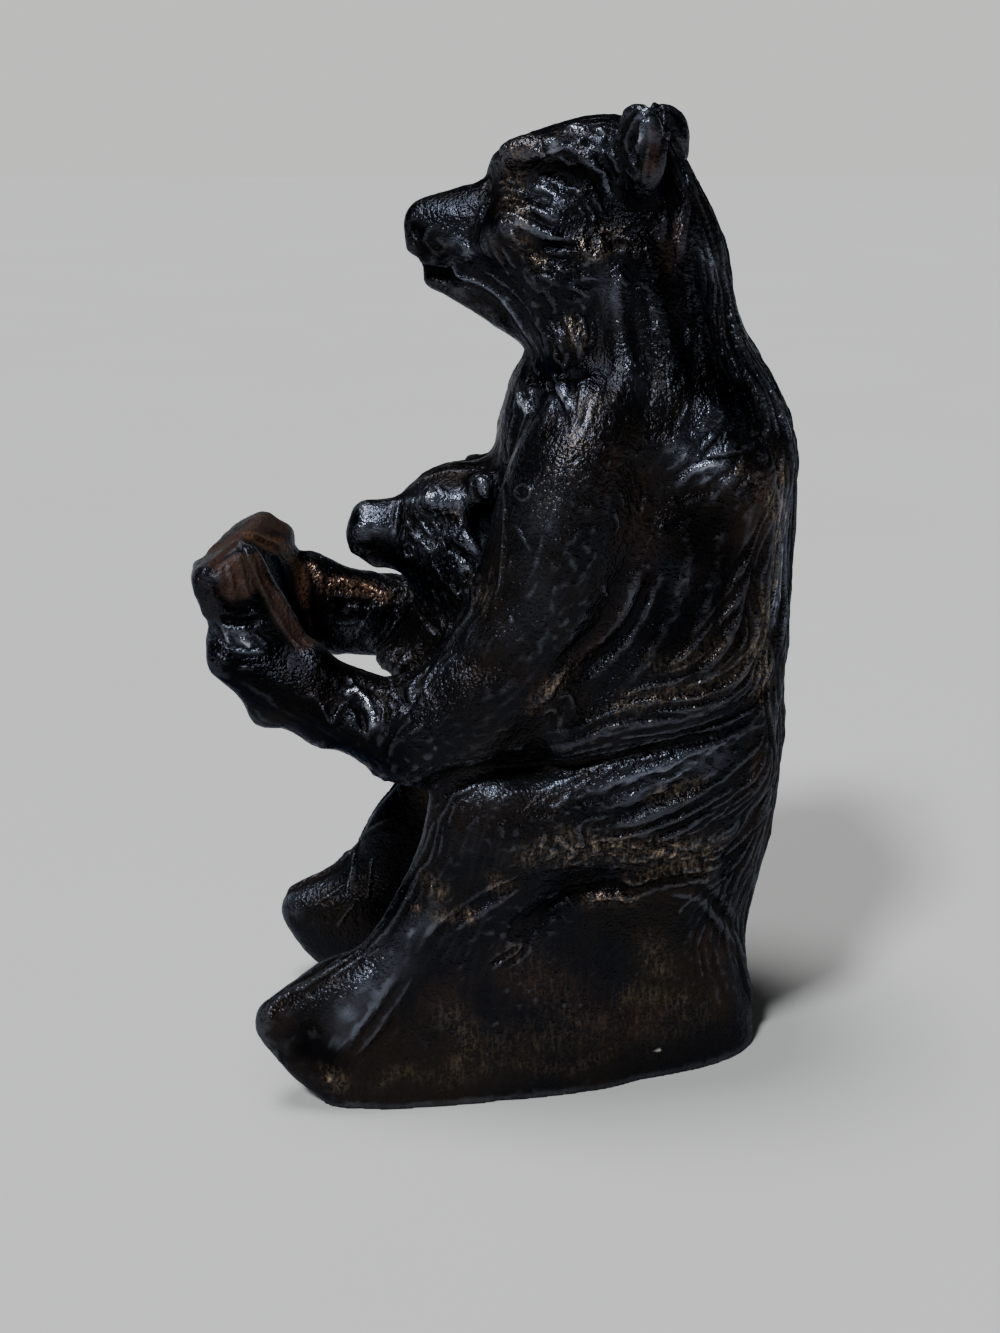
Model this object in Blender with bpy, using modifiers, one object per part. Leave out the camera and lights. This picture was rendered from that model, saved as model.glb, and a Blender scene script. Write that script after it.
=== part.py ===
"""Bear bookend: a mother bear sits upright with a cub in her lap and holds an open book for it.

The whole work is one casting, so it is one object. The front is -Y, the back that books lean on is +Y,
and the origin is on the ground under the middle of the casting.
"""

import math

import bmesh
import bpy
import numpy as np
from mathutils import Matrix, Vector

# Driving dimensions, in metres
FIGURE_HEIGHT = 0.165
BOOK_HEIGHT = 0.0235
BOOK_LEAF_WIDTH = 0.0180
NEAR_LEAF_THICKNESS = 0.0098
FAR_LEAF_THICKNESS = 0.0072
BOOK_SPINE_THICKNESS = 0.0070
BOOK_BOARD_THICKNESS = 0.0016
BOOK_BOARD_OVERHANG = 0.0010

# The figure is laid out in shares of its height: 165 shares from the ground to the ear tips
SHARES_IN_HEIGHT = 165.0
SHARE = FIGURE_HEIGHT / SHARES_IN_HEIGHT
BOOK_HALF = BOOK_LEAF_WIDTH / SHARE

# Fineness of the clay and of the finished solid
CLAY_VOXEL = 1.2 * SHARE
FINISHED_VOXEL = 1.1 * SHARE
BODY_SMOOTHING_PASSES = 14
JOINED_SMOOTHING_PASSES = 2
CARVED_SMOOTHING_PASSES = 1
SOLID_TRIANGLES = 9700
RING_POINTS = 28
STATION_STEPS = 4
BALL_SUBDIVISIONS = 3

# Proportions of the mother, in shares of the height.
# Upright stations: height, front y, back y, half width, squareness, narrowing to the back
TORSO = [
    (2, 4, 45.0, 15, 2.4, 0.1),
    (14, 2, 45.4, 17, 2.4, 0.1),
    (26, 0, 47.0, 21, 2.4, 0.1),
    (38, -2, 49.2, 26, 2.4, 0.1),
    (50, -1, 50.8, 29.5, 2.3, 0.08),
    (62, 1, 51.0, 30.5, 2.3, 0.08),
    (76, 2, 50.6, 30.5, 2.3, 0.05),
    (90, 2, 50.8, 30.0, 2.3, 0.05),
    (104, 0, 51.2, 29.0, 2.3, 0.05),
    (112, 0.5, 51.0, 27, 2.2, 0.05),
    (120, 2.5, 47.8, 23, 2.2, 0.0),
    (128, 4.5, 42.8, 19.5, 2.1, 0.0),
    (136, 7, 39.4, 17.5, 2.1, 0.0),
    (144, 9, 37.6, 16.0, 2.1, 0.0),
    (151, 12, 34.0, 13.5, 2.1, 0.0),
    (156, 15, 28.6, 9, 2.0, 0.0),
]
# Ground block that the haunches sit on, in the same terms
BLOCK = [
    (-6, -20, 48.6, 23.5, 3.4, 0.22),
    (2, -19.5, 48.3, 23.5, 3.4, 0.22),
    (12, -18, 46.8, 23.2, 3.4, 0.22),
    (22, -16, 45.4, 22.8, 3.2, 0.22),
    (32, -12, 45.4, 22.0, 3.0, 0.20),
    (42, -6, 44.0, 20.0, 2.6, 0.15),
    (50, 0, 42.0, 16.0, 2.2, 0.1),
]
# Lower leg and foot on the bear's left, in the same terms. They run back into the block at a slant
LOWER_LEG_X = 20.6
LOWER_LEG_SLANT = 2.6
LOWER_LEG = [
    (-6, -27, 26, 6.6, 2.8, 0.0),
    (0, -32.0, 26, 7.0, 2.8, 0.0),
    (4, -36.8, 25, 7.3, 2.8, 0.0),
    (9, -40.2, 24, 7.5, 2.7, 0.0),
    (14, -42.6, 22, 7.6, 2.6, 0.0),
    (17.5, -41.0, 21, 7.6, 2.5, 0.0),
    (20.5, -35.6, 20, 7.7, 2.4, 0.0),
    (26, -26.6, 19, 7.8, 2.3, 0.0),
    (32, -22.0, 18, 8.0, 2.2, 0.0),
    (38, -18.4, 17, 8.3, 2.2, 0.0),
    (46, -14.6, 17, 8.8, 2.2, 0.0),
    (53, -12.6, 16, 9.2, 2.2, 0.0),
    (59, -10.0, 14, 8.0, 2.1, 0.0),
    (63, -6.0, 8, 4.6, 2.0, 0.0),
]
FAR_LEG_FORWARD = -1.0
# Level stations: y, lower z, upper z, half width, squareness, narrowing to the top
SKULL = [
    (-1.0, 146, 153.4, 5.5, 2.2, 0.1),
    (-0.2, 140, 155.4, 8.6, 2.3, 0.15),
    (1.8, 134, 157.3, 11.2, 2.3, 0.2),
    (5.6, 129.5, 159.8, 13.0, 2.3, 0.2),
    (10.4, 126, 162.0, 14.2, 2.3, 0.18),
    (16.0, 123, 163.2, 14.6, 2.3, 0.18),
    (21.5, 121, 163.0, 14.2, 2.3, 0.15),
    (27.5, 121, 160.0, 13.4, 2.1, 0.15),
    (32.5, 125, 154.5, 10.0, 2.0, 0.1),
]
MUZZLE = [
    (-14.6, 144.6, 147.6, 2.2, 2.4, 0.0),
    (-14.1, 143.0, 149.0, 4.4, 2.5, 0.1),
    (-12.4, 141.4, 150.1, 5.6, 2.6, 0.15),
    (-9.6, 140.2, 151.0, 6.2, 2.6, 0.2),
    (-6.0, 139.4, 151.9, 6.8, 2.5, 0.2),
    (-2.6, 138.8, 153.0, 8.0, 2.4, 0.2),
    (2.0, 138.0, 155.0, 9.5, 2.2, 0.2),
]
JAW = [
    (-12.2, 136.9, 138.4, 2.0, 2.0, 0.0),
    (-11.4, 136.2, 139.4, 3.8, 2.2, 0.0),
    (-8.0, 134.6, 140.5, 5.2, 2.2, 0.0),
    (-3.0, 131.8, 142.0, 7.2, 2.2, 0.0),
    (2.0, 128.6, 143.0, 9.6, 2.2, 0.0),
    (8.0, 124.0, 143.0, 12.0, 2.2, 0.0),
]
# The head is looking a little to the bear's right
HEAD_TURN_DEG = -10
HEAD_PIVOT = (0, 20)

# Limbs on the bear's left: x, y, z, radius across, radius up and down
NEAR_UPPER_ARM = [
    (17, 16, 118, 9, 8),
    (20, 12.5, 110, 11.2, 11),
    (21.5, 9.5, 99, 11.6, 12),
    (22.2, 5, 87, 11.2, 11),
    (22.8, -1, 76, 10.8, 10.4),
    (23, -7, 69.5, 9.8, 9.6),
]
FAR_UPPER_ARM = [
    (17, 19.5, 117, 9, 8),
    (20, 15.5, 109.5, 11.2, 11),
    (21.5, 12, 99, 11.6, 12),
    (22.2, 6.5, 88, 11.2, 11),
    (22.8, 0, 77, 10.8, 10.4),
    (23, -6, 71, 9.8, 9.6),
]
NEAR_FOREARM = [
    (23.2, -5, 69.5, 9.6, 9.6),
    (22.6, -13, 67, 8.8, 9.4),
    (21.2, -21, 67.6, 7.6, 8.6),
    (BOOK_HALF + 1.4, -30, 71.4, 6.8, 7.4),
    (BOOK_HALF - 0.2, -38, 75.6, 6.0, 6.0),
    (BOOK_HALF - 1.6, -44.2, 79.2, 4.8, 4.6),
]
FAR_FOREARM = [
    (23.2, -5, 70.5, 9.6, 9.6),
    (22.6, -13, 72.8, 8.2, 8.3),
    (21.2, -20, 75.1, 7.0, 7.2),
    (BOOK_HALF + 1.6, -27, 77.2, 6.2, 6.6),
    (BOOK_HALF, -33.5, 78.2, 5.4, 7.4),
    (BOOK_HALF - 1.4, -38.0, 79.0, 4.6, 6.0),
]
THIGH = [
    (12, 33.5, 58, 16.5, 14.0),
    (16.4, 27, 56.5, 14.8, 13.6),
    (19.4, 17, 53.5, 12.6, 12.6),
    (21.0, 6, 51.0, 10.6, 11.4),
    (21.6, -2, 49.6, 9.6, 10.4),
]
NEAR_EAR = {"centre": (14.2, 23.8, 158.3), "radii": (3.5, 4.7, 7.4), "tilt": (4, 10, -32)}
FAR_EAR = {"centre": (-14.0, 26.4, 158.1), "radii": (3.5, 4.7, 7.4), "tilt": (4, -10, 28)}

# Rounded masses: x, y, z, then the three radii. Each has a twin on the other side.
SHOULDER_MASSES = [
    (15, 22, 110, 13, 14, 13),
    (17, 35, 105, 11.5, 11, 12),
    (13, 31, 72, 16, 14, 16),
]
HEAD_MASSES = [
    (9.8, 8.6, 157.2, 3.8, 6.8, 2.8),
    (11.6, 15.4, 154.0, 3.4, 3.2, 5.0),
    (11.8, 8.2, 147.6, 3.2, 6.4, 3.0),
    (9.6, 4.6, 144.2, 5.0, 6.4, 4.4),
    (12.2, 13.0, 138.6, 4.6, 8.4, 9.0),
    (3.4, -8.6, 142.4, 3.6, 4.4, 3.2),
    (2.6, -12.6, 146.4, 2.7, 2.0, 2.4),
]
NECK_MASSES = [
    (9.5, 11.5, 128.0, 6.5, 6.0, 8.0),
    (6.0, 8.2, 119.0, 6.0, 4.5, 7.0),
]

# The cub
CUB_BODY = [
    (48, -10, 10, 13, 2.1, 0.0),
    (58, -13, 12, 15, 2.1, 0.0),
    (68, -15.5, 12, 15.0, 2.1, 0.0),
    (78, -14.5, 10, 14.0, 2.1, 0.0),
    (88, -13, 8, 12.5, 2.1, 0.0),
    (96, -12, 6, 10, 2.1, 0.0),
]
CUB_HEAD = [
    (-15.8, 89.0, 101.4, 5.0, 2.2, 0.1),
    (-13.6, 84.5, 104.2, 7.8, 2.3, 0.15),
    (-10.0, 81.5, 105.8, 9.8, 2.2, 0.2),
    (-5.0, 80.0, 107.2, 11.0, 2.2, 0.2),
    (1.0, 82.0, 108.6, 10.5, 2.2, 0.2),
    (6.0, 86.0, 107.6, 8.0, 2.1, 0.2),
]
CUB_MUZZLE = [
    (-24.8, 95.0, 98.9, 2.4, 2.4, 0.0),
    (-24.1, 92.6, 100.1, 4.0, 2.6, 0.1),
    (-22.2, 91.2, 100.7, 4.8, 2.8, 0.1),
    (-18.4, 89.8, 100.9, 5.2, 2.6, 0.1),
    (-14.0, 87.0, 102.0, 6.4, 2.2, 0.1),
]
CUB_EARS = {"centre": (8.2, -2.6, 104.2), "radii": (3.4, 2.4, 3.8), "tilt": (10, 14, -24)}
CUB_MASSES = [
    (6.0, -9.5, 101.8, 3.6, 4.2, 2.2),
    (8.0, -6.0, 88.0, 4.2, 6.0, 7.0),
    (11.5, -6.0, 64.0, 6.0, 9.0, 9.0),
]

# The book, held in front of the cub: the foot of its gutter, how far it leans away from the readers,
# how far its left edge is lifted, and how far each half is turned towards the readers
BOOK_GUTTER_FOOT = (1.8, -32.6, 73.8)
BOOK_LEAN_DEG = 27
BOOK_LIFT_DEG = 5
BOOK_SPREAD_DEG = 13

# Paws and tufts of the forearms: x, y, z, then one radius
NEAR_PAW = [
    (BOOK_HALF + 1.6, -45.4, 78.8, 3.2),
    (BOOK_HALF - 1.0, -46.0, 81.8, 2.6),
    (BOOK_HALF + 1.4, -38.6, 70.4, 3.4),
    (BOOK_HALF + 2.4, -27.0, 64.4, 2.8),
]
FAR_PAW = [
    (-BOOK_HALF - 1.4, -38.4, 85.0, 3.0),
    (-BOOK_HALF - 2.2, -39.4, 80.6, 3.0),
    (-BOOK_HALF - 1.8, -38.6, 76.4, 3.0),
    (-BOOK_HALF - 0.6, -31.0, 82.0, 3.4),
]

# Carved lines as seen from the bear's left, y and z, with a width and a depth in shares.
# A negative depth raises a ridge.
THIGH_TOP = [(43, 73), (38, 70), (30.5, 67.4), (17.7, 64.3), (4.7, 62.1), (-9.9, 60.8)]
THIGH_BOTTOM = [(40, 44), (35, 44.6), (27, 42.6), (14.8, 40.5), (8, 37), (3, 32.6)]
ARM_BACK = [(22, 110), (21.6, 99), (17.5, 86), (8, 71), (1, 65)]
SHOULDER_BLADE = [(23, 108), (28, 104.5), (35, 107), (40, 113)]
SHIN_BACK = [(-4, 46), (-8, 36), (-14, 24), (-20, 15), (-26, 5)]
BLOCK_CORNER = [(39, 42), (42, 36), (43.6, 28), (44.6, 10)]
MOUTH = [(-12.4, 138.6), (-10, 139.0), (-7.0, 138.6), (-4.0, 137.2), (-1.6, 134.6)]
BROW_STEP = [(-1.2, 155.4), (-0.8, 152.5), (-1.6, 149.0), (-3.2, 145.0)]
EYE_HOLLOW = [(9.6, 155.2), (12.4, 155.4), (14.4, 154.2)]
EYE_LINE = [(4.4, 151.6), (6.8, 152.4), (9.4, 150.8)]
CHEEK_RIDGE = [(3.2, 147.4), (6.8, 146.0), (10.6, 144.8)]
CHEEK_LINE = [(2.2, 143.8), (7.2, 142.2), (12.2, 142.8)]
RUFF_LINES = [
    [(-4.0, 140.6), (-1.5, 137.0), (2.0, 132.8), (4.6, 128.2)],
    [(-0.6, 141.4), (2.6, 137.4), (5.8, 133.0)],
    [(3.0, 141.0), (6.0, 137.0), (9.5, 133.4)],
]
CHEST_TUFTS = [
    [(3.4, 126.5), (5.0, 121.0), (6.6, 116.0)],
    [(7.4, 126.5), (8.8, 121.0), (9.8, 117.0)],
    [(1.2, 121.0), (2.2, 116.0), (4.4, 111.0)],
]
CUB_BROW_STEP = [(-16.2, 101.4), (-15.6, 98.0), (-16.4, 93.5)]
CUB_MOUTH = [(-24.8, 92.6), (-21.5, 93.2), (-18.2, 92.4)]
CUB_EYE = [(-12.0, 98.2), (-10.4, 98.6)]
CUB_CHEEK = [(-9.0, 84.0), (-4.0, 80.5), (-1.0, 82.0)]

BODY_CREASES = [
    (THIGH_TOP, 1.7, 2.6),
    (THIGH_BOTTOM, 2.0, 1.6),
    (ARM_BACK, 4.0, 1.5),
    (SHOULDER_BLADE, 3.2, 1.0),
    (SHIN_BACK, 2.8, 1.3),
    (BLOCK_CORNER, 1.6, 0.8),
    (CUB_BROW_STEP, 0.9, 0.9),
    (CUB_MOUTH, 0.9, 0.9),
    (CUB_EYE, 1.3, 1.2),
    (CUB_CHEEK, 1.5, 1.3),
]
HEAD_CREASES = [
    (MOUTH, 1.1, 1.5),
    (BROW_STEP, 1.1, 1.0),
    (EYE_HOLLOW, 2.1, 2.2),
    (EYE_LINE, 1.1, 0.9),
    (CHEEK_RIDGE, 1.3, -0.9),
    (CHEEK_LINE, 1.3, 0.9),
]
FINE_LINE_WIDTH = 1.2
FINE_LINE_DEPTH = 1.3

# Fur grooves run between two guide lines: y and z from the bear's left
FUR_GUIDE_FRONT = [(25, 100), (22, 90), (15, 79), (6, 70)]
FUR_GUIDE_BACK = [(47.5, 112), (49.6, 97), (48, 82), (40, 73)]
FUR_GROOVES = 5
HAUNCH_GUIDE_TOP = [(43, 68), (34, 64.5), (22, 61), (9, 58.5)]
HAUNCH_GUIDE_BOTTOM = [(43, 51), (33, 47.5), (24, 45.5), (14, 45)]
HAUNCH_GROOVES = 4
NECK_GUIDE_FRONT = [(13, 139), (12, 130), (13, 121)]
NECK_GUIDE_BACK = [(33, 149), (37, 136), (43, 123)]
NECK_GROOVES = 4
FUR_GROOVE_WIDTH = 1.6
FUR_GROOVE_DEPTH = 1.9

# Locks down the back: grooves on x and z, spread to both sides and swaying
BACK_GROOVES = [
    [(0, 141), (0, 120), (0, 96), (0, 70)],
    [(2.4, 76), (2.4, 60), (2.4, 44), (2.4, 30)],
]
BACK_GROOVE_SPACING = 5.4
BACK_GROOVE_SPREAD = (0.55, 1.0, 1.15, 1.0)
BACK_GROOVES_A_SIDE = 3
BACK_GROOVE_SWAY = 1.3
BACK_GROOVE_SWAY_STEP = 2.3

# Round hollows: middle, radii, depth and inward direction on the left, with twins on the right
HEAD_HOLLOWS = [
    ((12.5, 11.6, 154.6), (5.0, 3.4, 2.3), 1.7, (-1, 0.1, 0.1)),
    ((9.0, 4.4, 149.6), (4.0, 3.2, 3.0), 1.0, (-1, 0.3, 0)),
    ((5.0, -12.2, 145.6), (2.4, 1.5, 1.2), 0.9, (-1, 0.4, 0)),
    ((12.5, 20.0, 150.4), (4.0, 3.0, 4.0), 1.5, (-1, 0.3, 0)),
    ((8.0, 8.0, 133.5), (5.0, 3.0, 2.4), 1.2, (-1, 0.1, 0.5)),
]
CUB_HOLLOWS = [
    ((9.0, -8.6, 98.6), (3.0, 2.0, 1.6), 1.3, (-1, 0.1, 0)),
    ((10.0, -2.2, 99.0), (4.0, 2.0, 3.2), 1.7, (-1, 0.1, 0)),
]

# Cups of the ears, from the middle of each ear
EAR_CUP_OUT = 2.4
EAR_CUP_FORWARD = 2.4
EAR_CUP_UP = 0.6
EAR_CUP_RADII = (3.4, 2.9, 5.0)
EAR_CUP_DEPTH = 3.0
CUB_EAR_CUP_RADII = (2.2, 2.0, 2.4)
CUB_EAR_CUP_DEPTH = 1.3

# A face counts as seen from a side where its normal turns at least this far to it
LEAST_FACING = 0.12
FULL_FACING = 0.42
BACK_STARTS = 20

# Patina of the casting
PATINA_COLOUR = (0.022, 0.018, 0.016, 1.0)
PATINA_ROUGHNESS = 0.42
PATINA_METALLIC = 0.35


def mirrored(points):
    """The same points on the bear's right."""
    return [(-p[0], *p[1:]) for p in points]


def smooth_stations(stations, steps=STATION_STEPS):
    """Stations added between the given ones on a Catmull-Rom curve through them."""
    known = np.array(stations, float)
    ends = np.vstack([2 * known[0] - known[1], known, 2 * known[-1] - known[-2]])
    finer = []
    for i in range(1, len(ends) - 2):
        before, start, end, after = ends[i - 1 : i + 3]
        for t in np.arange(steps) / steps:
            finer.append(
                0.5
                * (
                    2 * start
                    + (end - before) * t
                    + (2 * before - 5 * start + 4 * end - after) * t**2
                    + (3 * start - before - 3 * end + after) * t**3
                )
            )
    finer.append(known[-1])
    return np.array(finer)


def ring(centre, across, up, squareness=2.0, narrowing=0.0):
    """The points of one superellipse, with its half axes as vectors, narrower where up points."""
    points = []
    for angle in np.linspace(0, 2 * math.pi, RING_POINTS, endpoint=False):
        c, s = math.cos(angle), math.sin(angle)
        a = math.copysign(abs(c) ** (2 / squareness), c)
        b = math.copysign(abs(s) ** (2 / squareness), s)
        points.append(centre + across * a * (1 - narrowing * b) + up * b)
    return points


def loft(clay, rings):
    """Adds a closed skin through the rings, each a list of as many points, to the clay mesh."""
    loops = [[clay.verts.new(Vector(p) * SHARE) for p in points] for points in rings]
    for low, high in zip(loops, loops[1:]):
        for i in range(RING_POINTS):
            j = (i + 1) % RING_POINTS
            clay.faces.new((low[i], low[j], high[j], high[i]))
    clay.faces.new(reversed(loops[0]))
    clay.faces.new(loops[-1])


def upright_form(clay, stations, middle_x=0.0, slant=0.0):
    """A form whose stations are level rings, one above the other, set in by slant at the back."""
    rings = []
    for z, front, back, half_width, squareness, narrowing in smooth_stations(stations):
        centre = np.array([middle_x, (front + back) / 2, z])
        across = np.array([half_width, 0, 0])
        deep = np.array([-slant, (back - front) / 2, 0])
        rings.append(ring(centre, across, deep, squareness, narrowing))
    loft(clay, rings)


def level_form(clay, stations):
    """A form whose stations are upright rings, one behind the other."""
    rings = []
    for y, low, high, half_width, squareness, narrowing in smooth_stations(stations):
        centre = np.array([0, y, (low + high) / 2])
        across = np.array([half_width, 0, 0])
        up = np.array([0, 0, (high - low) / 2])
        rings.append(ring(centre, across, up, squareness, narrowing))
    loft(clay, rings)


def limb(clay, joints):
    """A limb through its joints, with rounded ends."""
    stations = smooth_stations(joints)
    path, across_radii, up_radii = stations[:, :3], stations[:, 3], stations[:, 4]
    along = np.gradient(path, axis=0)
    along /= np.linalg.norm(along, axis=1)[:, None]
    cap_angles = np.radians([70, 45, 20])
    rings = []
    for i, (centre, direction) in enumerate(zip(path, along)):
        across = np.array([1.0, 0, 0]) - direction * direction[0]
        across /= np.linalg.norm(across)
        up = np.cross(across, direction)
        wide, tall = across * across_radii[i], up * up_radii[i]
        reach = direction * min(across_radii[i], up_radii[i])

        def cap(sign, angles):
            return [
                ring(centre + sign * reach * math.sin(a), wide * math.cos(a), tall * math.cos(a))
                for a in angles
            ]

        rings += cap(-1, cap_angles) if i == 0 else []
        rings.append(ring(centre, wide, tall))
        rings += cap(1, cap_angles[::-1]) if i == len(path) - 1 else []
    loft(clay, rings)


def ball(clay, centre, radii, tilt_deg=(0, 0, 0)):
    """An ellipsoid, turned about x, y and z in that order."""
    turn = Matrix.Identity(4)
    for angle, axis in zip(tilt_deg, "XYZ"):
        turn = Matrix.Rotation(math.radians(angle), 4, axis) @ turn
    place = (
        Matrix.Translation(Vector(centre) * SHARE)
        @ turn
        @ Matrix.Diagonal((*(Vector(radii) * SHARE), 1))
    )
    bmesh.ops.create_icosphere(
        clay, subdivisions=BALL_SUBDIVISIONS, radius=1.0, matrix=place
    )


def masses(clay, table):
    """Rounded masses and their twins on the other side."""
    for x, y, z, *radii in table:
        for side in (1, -1):
            ball(clay, (side * x, y, z), radii)


def ear(clay, centre, radii, tilt):
    """The outer form of one ear. Its cup is pressed in afterwards."""
    ball(clay, centre, radii, tilt)


def head(clay):
    """The mother's head and ears, turned on the neck."""
    first = len(clay.verts)
    level_form(clay, SKULL)
    level_form(clay, MUZZLE)
    level_form(clay, JAW)
    masses(clay, HEAD_MASSES)
    ear(clay, **NEAR_EAR)
    ear(clay, **FAR_EAR)
    clay.verts.ensure_lookup_table()
    bmesh.ops.rotate(
        clay,
        verts=clay.verts[first:],
        cent=Vector((*HEAD_PIVOT, 0)) * SHARE,
        matrix=Matrix.Rotation(math.radians(HEAD_TURN_DEG), 3, "Z"),
    )


def cub_head(clay):
    """The cub's head and ears, as one with its cheeks and shoulders."""
    level_form(clay, CUB_HEAD)
    level_form(clay, CUB_MUZZLE)
    masses(clay, CUB_MASSES)
    ear(clay, **CUB_EARS)
    (x, y, z), (tilt_x, tilt_y, tilt_z) = CUB_EARS["centre"], CUB_EARS["tilt"]
    ear(clay, (-x, y, z), CUB_EARS["radii"], (tilt_x, -tilt_y, -tilt_z))


def slab(clay, size, place):
    """A box of the given size, placed by a matrix. Both are in metres."""
    bmesh.ops.create_cube(clay, size=1.0, matrix=place @ Matrix.Diagonal((*size, 1)))


def book(clay):
    """Two leaves of pages with their boards, spread from the spine towards the readers.

    The book's own axes are x across the leaves, y towards the readers and z up the spine.
    """
    frame = (
        Matrix.Translation(Vector(BOOK_GUTTER_FOOT) * SHARE)
        @ Matrix.Rotation(math.radians(-BOOK_LIFT_DEG), 4, "Y")
        @ Matrix.Rotation(math.radians(BOOK_LEAN_DEG), 4, "X")
        @ Matrix.Translation((0, 0, BOOK_HEIGHT / 2))
    )
    for side, thickness in ((1, NEAR_LEAF_THICKNESS), (-1, FAR_LEAF_THICKNESS)):
        turn = frame @ Matrix.Rotation(math.radians(side * BOOK_SPREAD_DEG), 4, "Z")
        pages_depth = thickness - BOOK_BOARD_THICKNESS
        pages = Matrix.Translation((side * BOOK_LEAF_WIDTH / 2, -pages_depth / 2, 0))
        slab(clay, (BOOK_LEAF_WIDTH, pages_depth, BOOK_HEIGHT), turn @ pages)
        board_width = BOOK_LEAF_WIDTH + BOOK_BOARD_OVERHANG
        board = Matrix.Translation(
            (side * board_width / 2, -thickness + BOOK_BOARD_THICKNESS / 2, 0)
        )
        board_size = (board_width, BOOK_BOARD_THICKNESS, BOOK_HEIGHT + 2 * BOOK_BOARD_OVERHANG)
        slab(clay, board_size, turn @ board)
    spine = Matrix.Translation((0, -BOOK_SPINE_THICKNESS / 2 - BOOK_BOARD_OVERHANG, 0))
    slab(clay, (BOOK_SPINE_THICKNESS, BOOK_SPINE_THICKNESS, BOOK_HEIGHT), frame @ spine)


def soft_masses(clay):
    """Everything that is blended softly: ground block, torso, haunches, legs and upper arms."""
    upright_form(clay, BLOCK)
    upright_form(clay, TORSO)
    upright_form(clay, CUB_BODY)
    masses(clay, SHOULDER_MASSES)
    for points in (NEAR_UPPER_ARM, THIGH):
        limb(clay, points)
    for points in (FAR_UPPER_ARM, THIGH):
        limb(clay, mirrored(points))
    upright_form(clay, LOWER_LEG, LOWER_LEG_X, LOWER_LEG_SLANT)
    far_leg = [(z, front - FAR_LEG_FORWARD, *rest) for z, front, *rest in LOWER_LEG]
    upright_form(clay, far_leg, -LOWER_LEG_X, -LOWER_LEG_SLANT)


def crisp_masses(clay):
    """Everything that keeps a sharper edge: heads, forearms, paws and the book."""
    head(clay)
    masses(clay, NECK_MASSES)
    cub_head(clay)
    limb(clay, NEAR_FOREARM)
    limb(clay, mirrored(FAR_FOREARM))
    for x, y, z, radius in NEAR_PAW + FAR_PAW:
        ball(clay, (x, y, z), (radius,) * 3)
    book(clay)


def fused(name, clay_mesh, voxel, passes):
    """One closed skin around all the clay, with its joints softened."""
    obj = bpy.data.objects.new(name, clay_mesh)
    bpy.context.scene.collection.objects.link(obj)
    fuse = obj.modifiers.new("fuse", "REMESH")
    fuse.mode = "VOXEL"
    fuse.voxel_size = voxel
    soften = obj.modifiers.new("soften", "SMOOTH")
    soften.factor = 0.5
    soften.iterations = passes
    bpy.context.view_layer.update()
    graph = bpy.context.evaluated_depsgraph_get()
    mesh = bpy.data.meshes.new_from_object(obj.evaluated_get(graph))
    bpy.data.objects.remove(obj)
    return mesh


def modelled(name, build, voxel, passes, on_top_of=None):
    """The forms that build adds, fused with the clay that is there already."""
    clay = bmesh.new()
    if on_top_of:
        clay.from_mesh(on_top_of)
    build(clay)
    bmesh.ops.recalc_face_normals(clay, faces=clay.faces)
    mesh = bpy.data.meshes.new(name)
    clay.to_mesh(mesh)
    clay.free()
    return fused(name, mesh, voxel, passes)


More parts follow.
